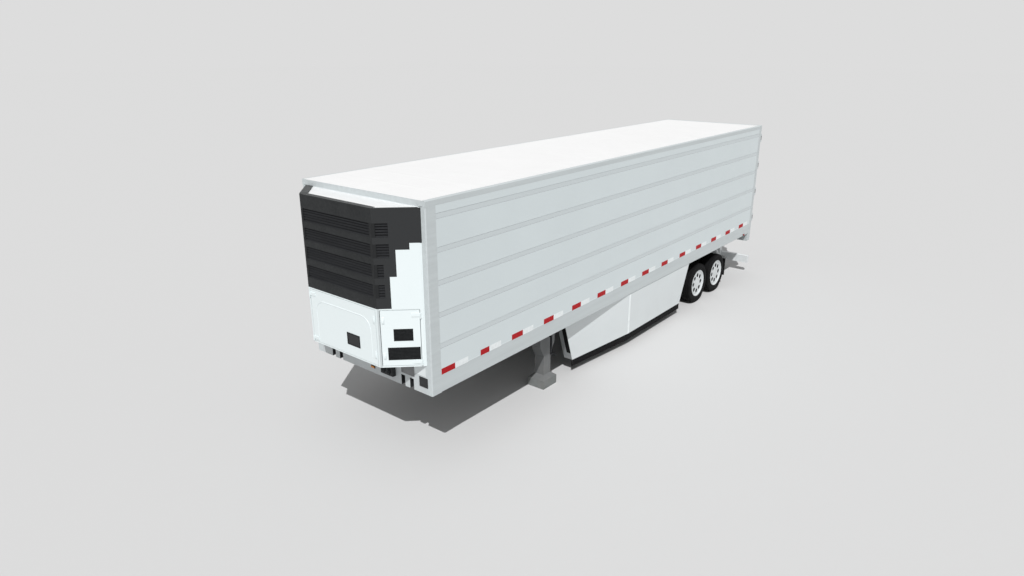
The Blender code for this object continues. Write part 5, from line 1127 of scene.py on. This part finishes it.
# closed outline of one rail: place across it, depth below the deck's level
RAIL_OUTLINE = [(-0.004, CHANNEL + 0.002), (0.004, CHANNEL + 0.002), (0.004, 0.006), (0.016, 0.004),
                (0.016, 0), (-0.016, 0), (-0.016, 0.004), (-0.004, 0.006)]
deck_x, deck_y, deck_top = (DECK[0].x, DECK[1].x), (DECK[0].y, DECK[1].y), DECK[1].z
rail_pitch = (deck_x[1] - deck_x[0]) / RAILS
rail = drawn(add_prism, [(x, deck_top - depth) for x, depth in RAIL_OUTLINE], "Y", *deck_y)
rails = repeat(rail, floor_metal, RAILS, (deck_x[0] + rail_pitch / 2, 0, 0), step=(rail_pitch, 0, 0))
deck = joined([rails])
add_box(deck, deck_x, deck_y, (DECK[0].z, deck_top - CHANNEL))
dress("t_rail_floor", deck, floor_metal, replaces=["floor"])

SCUFF_RIBS, SCUFF_PITCH = 10, 0.030
scuff_low = deck_top + 0.002
ribs = [(depth, scuff_low + k * SCUFF_PITCH + rise) for k in range(SCUFF_RIBS)
        for depth, rise in ((0.0015, 0), (0.0015, 0.010), (0.005, 0.015), (0.005, 0.025))]
outline = [(0, scuff_low)] + ribs[1:] + [(0, ribs[-1][1] + 0.004)]
scuff = bmesh.new()
for _, sign in SIDES:
    add_prism(scuff, [(sign * (INNER_X - depth), z) for depth, z in outline], "Y",
              *inset(deck_y, 0.002))
dress("scuff_bands", scuff, bare_metal)

# %% [markdown]
# Skirts, tank and flaps.
#
# A bright cover strip hides the joint between two skirt panels. The folded return at the raked
# front edge is closed by a grey plate, which is painted shade, and a black sheet in it stands for a
# dark opening, also painted shade. The tank hangs in two straps. The flaps get a clamp bar with
# bolts, and the ribs that keep such a sheet from curling.

# %% Skirt trim
SKIRT_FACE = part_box("skirt_rear_street")[1].x
SKIRT_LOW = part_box("skirt_front_street")[0].z
JOINT_Y = (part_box("skirt_front_street")[1].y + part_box("skirt_rear_street")[0].y) / 2
skirt_places = [vert.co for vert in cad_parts["skirt_front_street"].data.vertices]


def front_corner(places):
    """The foremost, outermost and highest point that some corners of a skirt reach."""
    front = min(place.y for place in places)
    ends = [place for place in places if place.y < front + 0.001]
    return Vector((max(place.x for place in ends), front, max(place.z for place in ends)))


rake_low = front_corner([place for place in skirt_places if place.z < SKIRT_LOW + 0.001])
rake_top = front_corner(skirt_places)
rake = rake_top - rake_low
lean = Vector((0, -rake.z, rake.y)).normalized()
print("raked edge of the skirt from", rake_low, "to", rake_top)


def add_raked_plate(bm, sign, shares, inwards, proud):
    """A plate on the raked end of a skirt, between two shares of its height and two depths."""
    (low, high), (near, far) = shares, inwards
    corners = []
    for share, inward in ((high, near), (high, far), (low, far), (low, near)):
        corner = rake_low + share * rake
        corners.append(Vector((sign * (corner.x - inward), corner.y, corner.z)))
    add_skin(bm, [[corner + lean * out for corner in corners] for out in (proud, -0.001)])


strips, dark, frames = bmesh.new(), bmesh.new(), bmesh.new()
for _, sign in SIDES:
    add_box(strips, (sign * (SKIRT_FACE - 0.001), sign * (SKIRT_FACE + 0.0018)),
            about(JOINT_Y, 0.028), (SKIRT_LOW, rake_top.z - 0.005), 0.0006, 1)
    # a grey plate on the folded return: painted shade
    add_raked_plate(frames, sign, (0.003, 0.995), (0.0015, 0.178), 0.0015)
    # a black sheet on the return in place of a shaded opening: painted shade
    add_raked_plate(dark, sign, (0.17, 0.99), (0.003, 0.092), 0.003)
dress("skirt_joint_covers", strips, cover_white)
dress("skirt_front_openings", dark, seal_rubber)
dress("skirt_end_frames", frames, end_grey)

# %% Tank straps and cap
TANK_RADIUS, STRAP_X, STRAP_HALF, CAP_X = 0.27, 0.34, 0.022, 0.57
tank_y, tank_z = middle("fuel_tank", 1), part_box("fuel_tank")[0].z + TANK_RADIUS
straps = bmesh.new()
for _, sign in SIDES:
    near, far = about(sign * STRAP_X, STRAP_HALF)
    band = [(near, TANK_RADIUS - 0.002), (near, TANK_RADIUS + 0.004), (far, TANK_RADIUS + 0.004),
            (far, TANK_RADIUS - 0.002)]
    add_turned(straps, band, (0, tank_y, tank_z), "X", 48, ring=True)
    add_rod(straps, about(sign * STRAP_X, 0.030), 0.010, (0, tank_y - TANK_RADIUS - 0.012, tank_z),
            "X", 8)
CAP_TURN = Matrix.Rotation(math.radians(38), 4, "X")
NECK_OUTLINE = [(-0.012, 0.036), (0.018, 0.034), (0.020, 0.047), (0.040, 0.046), (0.043, 0.040)]
cap = drawn(add_turned, [(TANK_RADIUS + out, radius) for out, radius in NECK_OUTLINE], (0, 0, 0),
            "Z", 24)
add_moved(straps, cap, Matrix.Translation((CAP_X, tank_y, tank_z)) @ CAP_TURN)
dress("tank_straps_and_cap", straps, bright_steel, smooth=35)

# %% Flap clamps and ribs
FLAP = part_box("mudflap_street")
CLAMP_HALF, CLAMP_Z = 0.29, (FLAP[1].z - 0.045, FLAP[1].z - 0.010)
FLAP_BOLT_STEP, RIB_STEP, RIBS = 0.15, 0.065, 9
clamps, ribs = [], []
for _, sign in SIDES:
    centre = sign * middle("mudflap_street", 0)
    bar = drawn(add_box, about(centre, CLAMP_HALF), (FLAP[0].y - 0.004, FLAP[0].y), CLAMP_Z, 0.001, 1)
    bolt = drawn(add_rod, (FLAP[0].y - 0.0095, FLAP[0].y - 0.003), 0.009, (0, 0, 0), "Y", 6)
    bolts_start = (centre - 1.5 * FLAP_BOLT_STEP, 0, sum(CLAMP_Z) / 2)
    clamps += [mesh_from(bar), repeat(bolt, bright_steel, 4, bolts_start, step=(FLAP_BOLT_STEP, 0, 0))]
    rib = drawn(add_box, about(0, 0.006), (FLAP[0].y - 0.003, FLAP[1].y + 0.003),
                (FLAP[0].z + 0.02, FLAP[1].z - 0.06), 0.002, 1)
    ribs.append(repeat(rib, seal_rubber, RIBS, (centre - (RIBS - 1) / 2 * RIB_STEP, 0, 0),
                       step=(RIB_STEP, 0, 0)))
dress("flap_clamps", joined(clamps), bright_steel)
dress("flap_ribs", joined(ribs), seal_rubber)

# %% [markdown]
# Below the box.
#
# From low down, three things tell a real running gear from a stand-in: U-bolts that clamp each arm
# to its axle, a shock absorber beside each arm, and clamp bands round the brake chambers. The
# landing legs get bolted head plates and the shaft that turns both legs from one crank.

# %% Axle fittings
ARM_X = middle("air_spring_1_street", 0)
ARM_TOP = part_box("air_spring_1_street")[0].z
SLIDER_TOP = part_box("slider_frame")[1].z
BOLT_AHEAD, BOLT_BESIDE, BOLT_RADIUS, BOLT_BEND = 0.078, 0.046, 0.008, WHEEL_Z - 0.01
EYE_AHEAD, EYE_DROP, EYE_OUTS = 0.42, 0.090, (0.051, -0.069)
SHOCK_IN, SHOCK_LOW, SHOCK_HIGH = 0.088, (0.115, ARM_TOP - 0.055), (-0.125, SLIDER_TOP - 0.10)
CHAMBER_IN, CHAMBER_UP, CHAMBER_BACKS = 0.20, 0.03, (0.172, 0.205)
CHAMBER_RADIUS, CHAMBER_BAND = 0.0745, 0.081
fittings, dampers, rods = bmesh.new(), bmesh.new(), bmesh.new()


def add_axle_clamp(x, y):
    """A plate over the arm, held by two U-bolts that run below the axle."""
    add_box(fittings, about(x, 0.062), about(y, 0.105), (ARM_TOP, ARM_TOP + 0.014), 0.003, 2)
    for beside in about(x, BOLT_BESIDE):
        for ahead in about(y, BOLT_AHEAD):
            add_rod(fittings, (ARM_TOP + 0.013, ARM_TOP + 0.030), 0.015, (beside, ahead, 0), "Z", 6)
        bend = [(y + BOLT_AHEAD * math.cos(angle), BOLT_BEND + BOLT_AHEAD * math.sin(angle))
                for angle in (math.pi + math.pi * k / 8 for k in range(9))]
        ends = [(place, ARM_TOP + 0.045) for place in about(y, BOLT_AHEAD)]
        path = [(beside, *spot) for spot in [ends[0]] + bend + [ends[1]]]
        add_tube(rods, path, BOLT_RADIUS, 8)


def add_shock_absorber(x, y, sign):
    low, high = (Vector((x - sign * SHOCK_IN, y + back, z)) for back, z in (SHOCK_LOW, SHOCK_HIGH))
    for bm, start, end, radius, segments in ((dampers, 0, 0.56, 0.030, 16),
                                             (dampers, 0.50, 0.93, 0.034, 16),
                                             (rods, 0.92, 1, 0.011, 10)):
        add_tube(bm, [low.lerp(high, start), low.lerp(high, end)], radius, segments)
    for end in (low, high):
        add_rod(rods, about(end.x, 0.022), 0.020, (0, end.y, end.z), "X", 14)
        add_rod(fittings, (min(end.x, x) - 0.002, max(end.x, x)), 0.010, (0, end.y, end.z), "X",
                10)


for _, y, sign in STATIONS:
    x = sign * ARM_X
    add_axle_clamp(x, y)
    add_shock_absorber(x, y, sign)
    for out in EYE_OUTS:
        add_turned(fittings, [(x + sign * out, 0.026), (x + sign * (out + 0.018), 0.024)],
                   (0, y - EYE_AHEAD, ARM_TOP - EYE_DROP), "X", 6)
    for back in CHAMBER_BACKS:
        near, far = about(y + back, 0.006)
        band = [(near, CHAMBER_RADIUS), (near, CHAMBER_BAND), (far, CHAMBER_BAND), (far, CHAMBER_RADIUS)]
        add_turned(rods, band, (x - sign * CHAMBER_IN, 0, WHEEL_Z + CHAMBER_UP), "Y", 24, ring=True)
dress("axle_fittings", fittings, frame_steel, smooth=30)
dress("shock_absorbers", dampers, seal_rubber, smooth=40)
dress("bolts_and_bands", rods, bright_steel, smooth=40)

# %% Landing gear fittings
LEG_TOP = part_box("landing_leg_street")[1].z
SHAFT_Z, COLLAR_X, LEG_BOLT_STEP = 1.045, 0.45, 0.10
leg_y = middle("landing_leg_street", 1)
head = [vert.co.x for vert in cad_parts["landing_leg_street"].data.vertices
        if vert.co.z > LEG_TOP - 0.001]
leg_bolts = []
for _, sign in SIDES:
    bolt = drawn(add_rod, (-0.001, 0.010), 0.012, (0, 0, 0), "X", 6)
    bolt_x = sign * max(head) - (0 if sign > 0 else 0.009)
    leg_bolts.append(repeat(bolt, bright_steel, 4, (bolt_x, leg_y - 1.5 * LEG_BOLT_STEP, LEG_TOP - 0.06),
                            step=(0, LEG_BOLT_STEP, 0), rows=2, row_step=(0, 0, -LEG_BOLT_STEP)))
dress("leg_bolts", joined(leg_bolts), bright_steel)
shaft = drawn(add_tube, [(x, leg_y + 0.05, SHAFT_Z) for x in about(0, min(head) + 0.01)], 0.012, 12)
for x in about(0, COLLAR_X):
    add_rod(shaft, about(x, 0.03), 0.018, (0, leg_y + 0.05, SHAFT_Z), "X", 12)
dress("cross_shaft", shaft, frame_steel, smooth=35)

# %% [markdown]
# Camera, light and floor.
#
# The camera stands where the vanishing lines of the photograph put it. One sun with a small disc
# gives the clear shadow below the trailer, and a pale world fills the rest at a plain level. The
# floor and the background read as one tone, so the world shows that tone to the camera and in
# reflections, and lights the object with its own strength.

# %% Camera
camera = add_object("camera", bpy.data.cameras.new("camera"))
camera.data.sensor_width = 36.0
camera.data.lens = 24.444
camera.data.clip_end = 500.0
camera.location = (7.602, -11.782, 5.699)
camera.rotation_euler = Euler((math.radians(90 - 19.005), 0.0, math.radians(38.861)))
bpy.context.scene.camera = camera
print("camera at", tuple(camera.location))

# %% Light and background
BACKGROUND = 0.723
SUN_DIRECTION = Vector((0.3626, -0.5139, 0.7775))
sun = add_object("sun", bpy.data.lights.new("sun", "SUN"))
sun.data.energy = 3.14
sun.data.angle = math.radians(0.6)
sun.rotation_euler = SUN_DIRECTION.to_track_quat("Z", "Y").to_euler()

world = bpy.data.worlds.new("studio")
world.use_nodes = True
bpy.context.scene.world = world
fill, output = (world.node_tree.nodes[title] for title in ("Background", "World Output"))
seen, rays, either, any_of, choice = (world.node_tree.nodes.new("ShaderNode" + kind) for kind in (
    "Background", "LightPath", "Math", "Math", "MixShader"))
for shader, tone, strength in ((fill, 1.0, 0.40), (seen, BACKGROUND, 1.0)):
    shader.inputs["Color"].default_value = (tone, tone, tone, 1.0)
    shader.inputs["Strength"].default_value = strength
either.operation = any_of.operation = "MAXIMUM"
wire(world.node_tree, (rays, "Is Camera Ray", either, 0), (rays, "Is Glossy Ray", either, 1),
     (either, 0, any_of, 0), (rays, "Is Transmission Ray", any_of, 1), (any_of, 0, choice, 0),
     (fill, 0, choice, 1), (seen, 0, choice, 2), (choice, 0, output, "Surface"))

# %% Floor
FLOOR_TONE, FLOOR_HALF = 0.612, 200.0
floor_finish = surface("studio_floor", (FLOOR_TONE,) * 3, 0.9, shade=0.0, grain=3.0, depth=0.0,
                       Specular_IOR_Level=0.0)
sheet = bmesh.new()
bmesh.ops.create_grid(sheet, x_segments=1, y_segments=1, size=FLOOR_HALF)
studio_floor = add_object("studio_floor", mesh_from(sheet))
studio_floor.data.materials.append(floor_finish)
bpy.context.scene.view_settings.view_transform = "Standard"
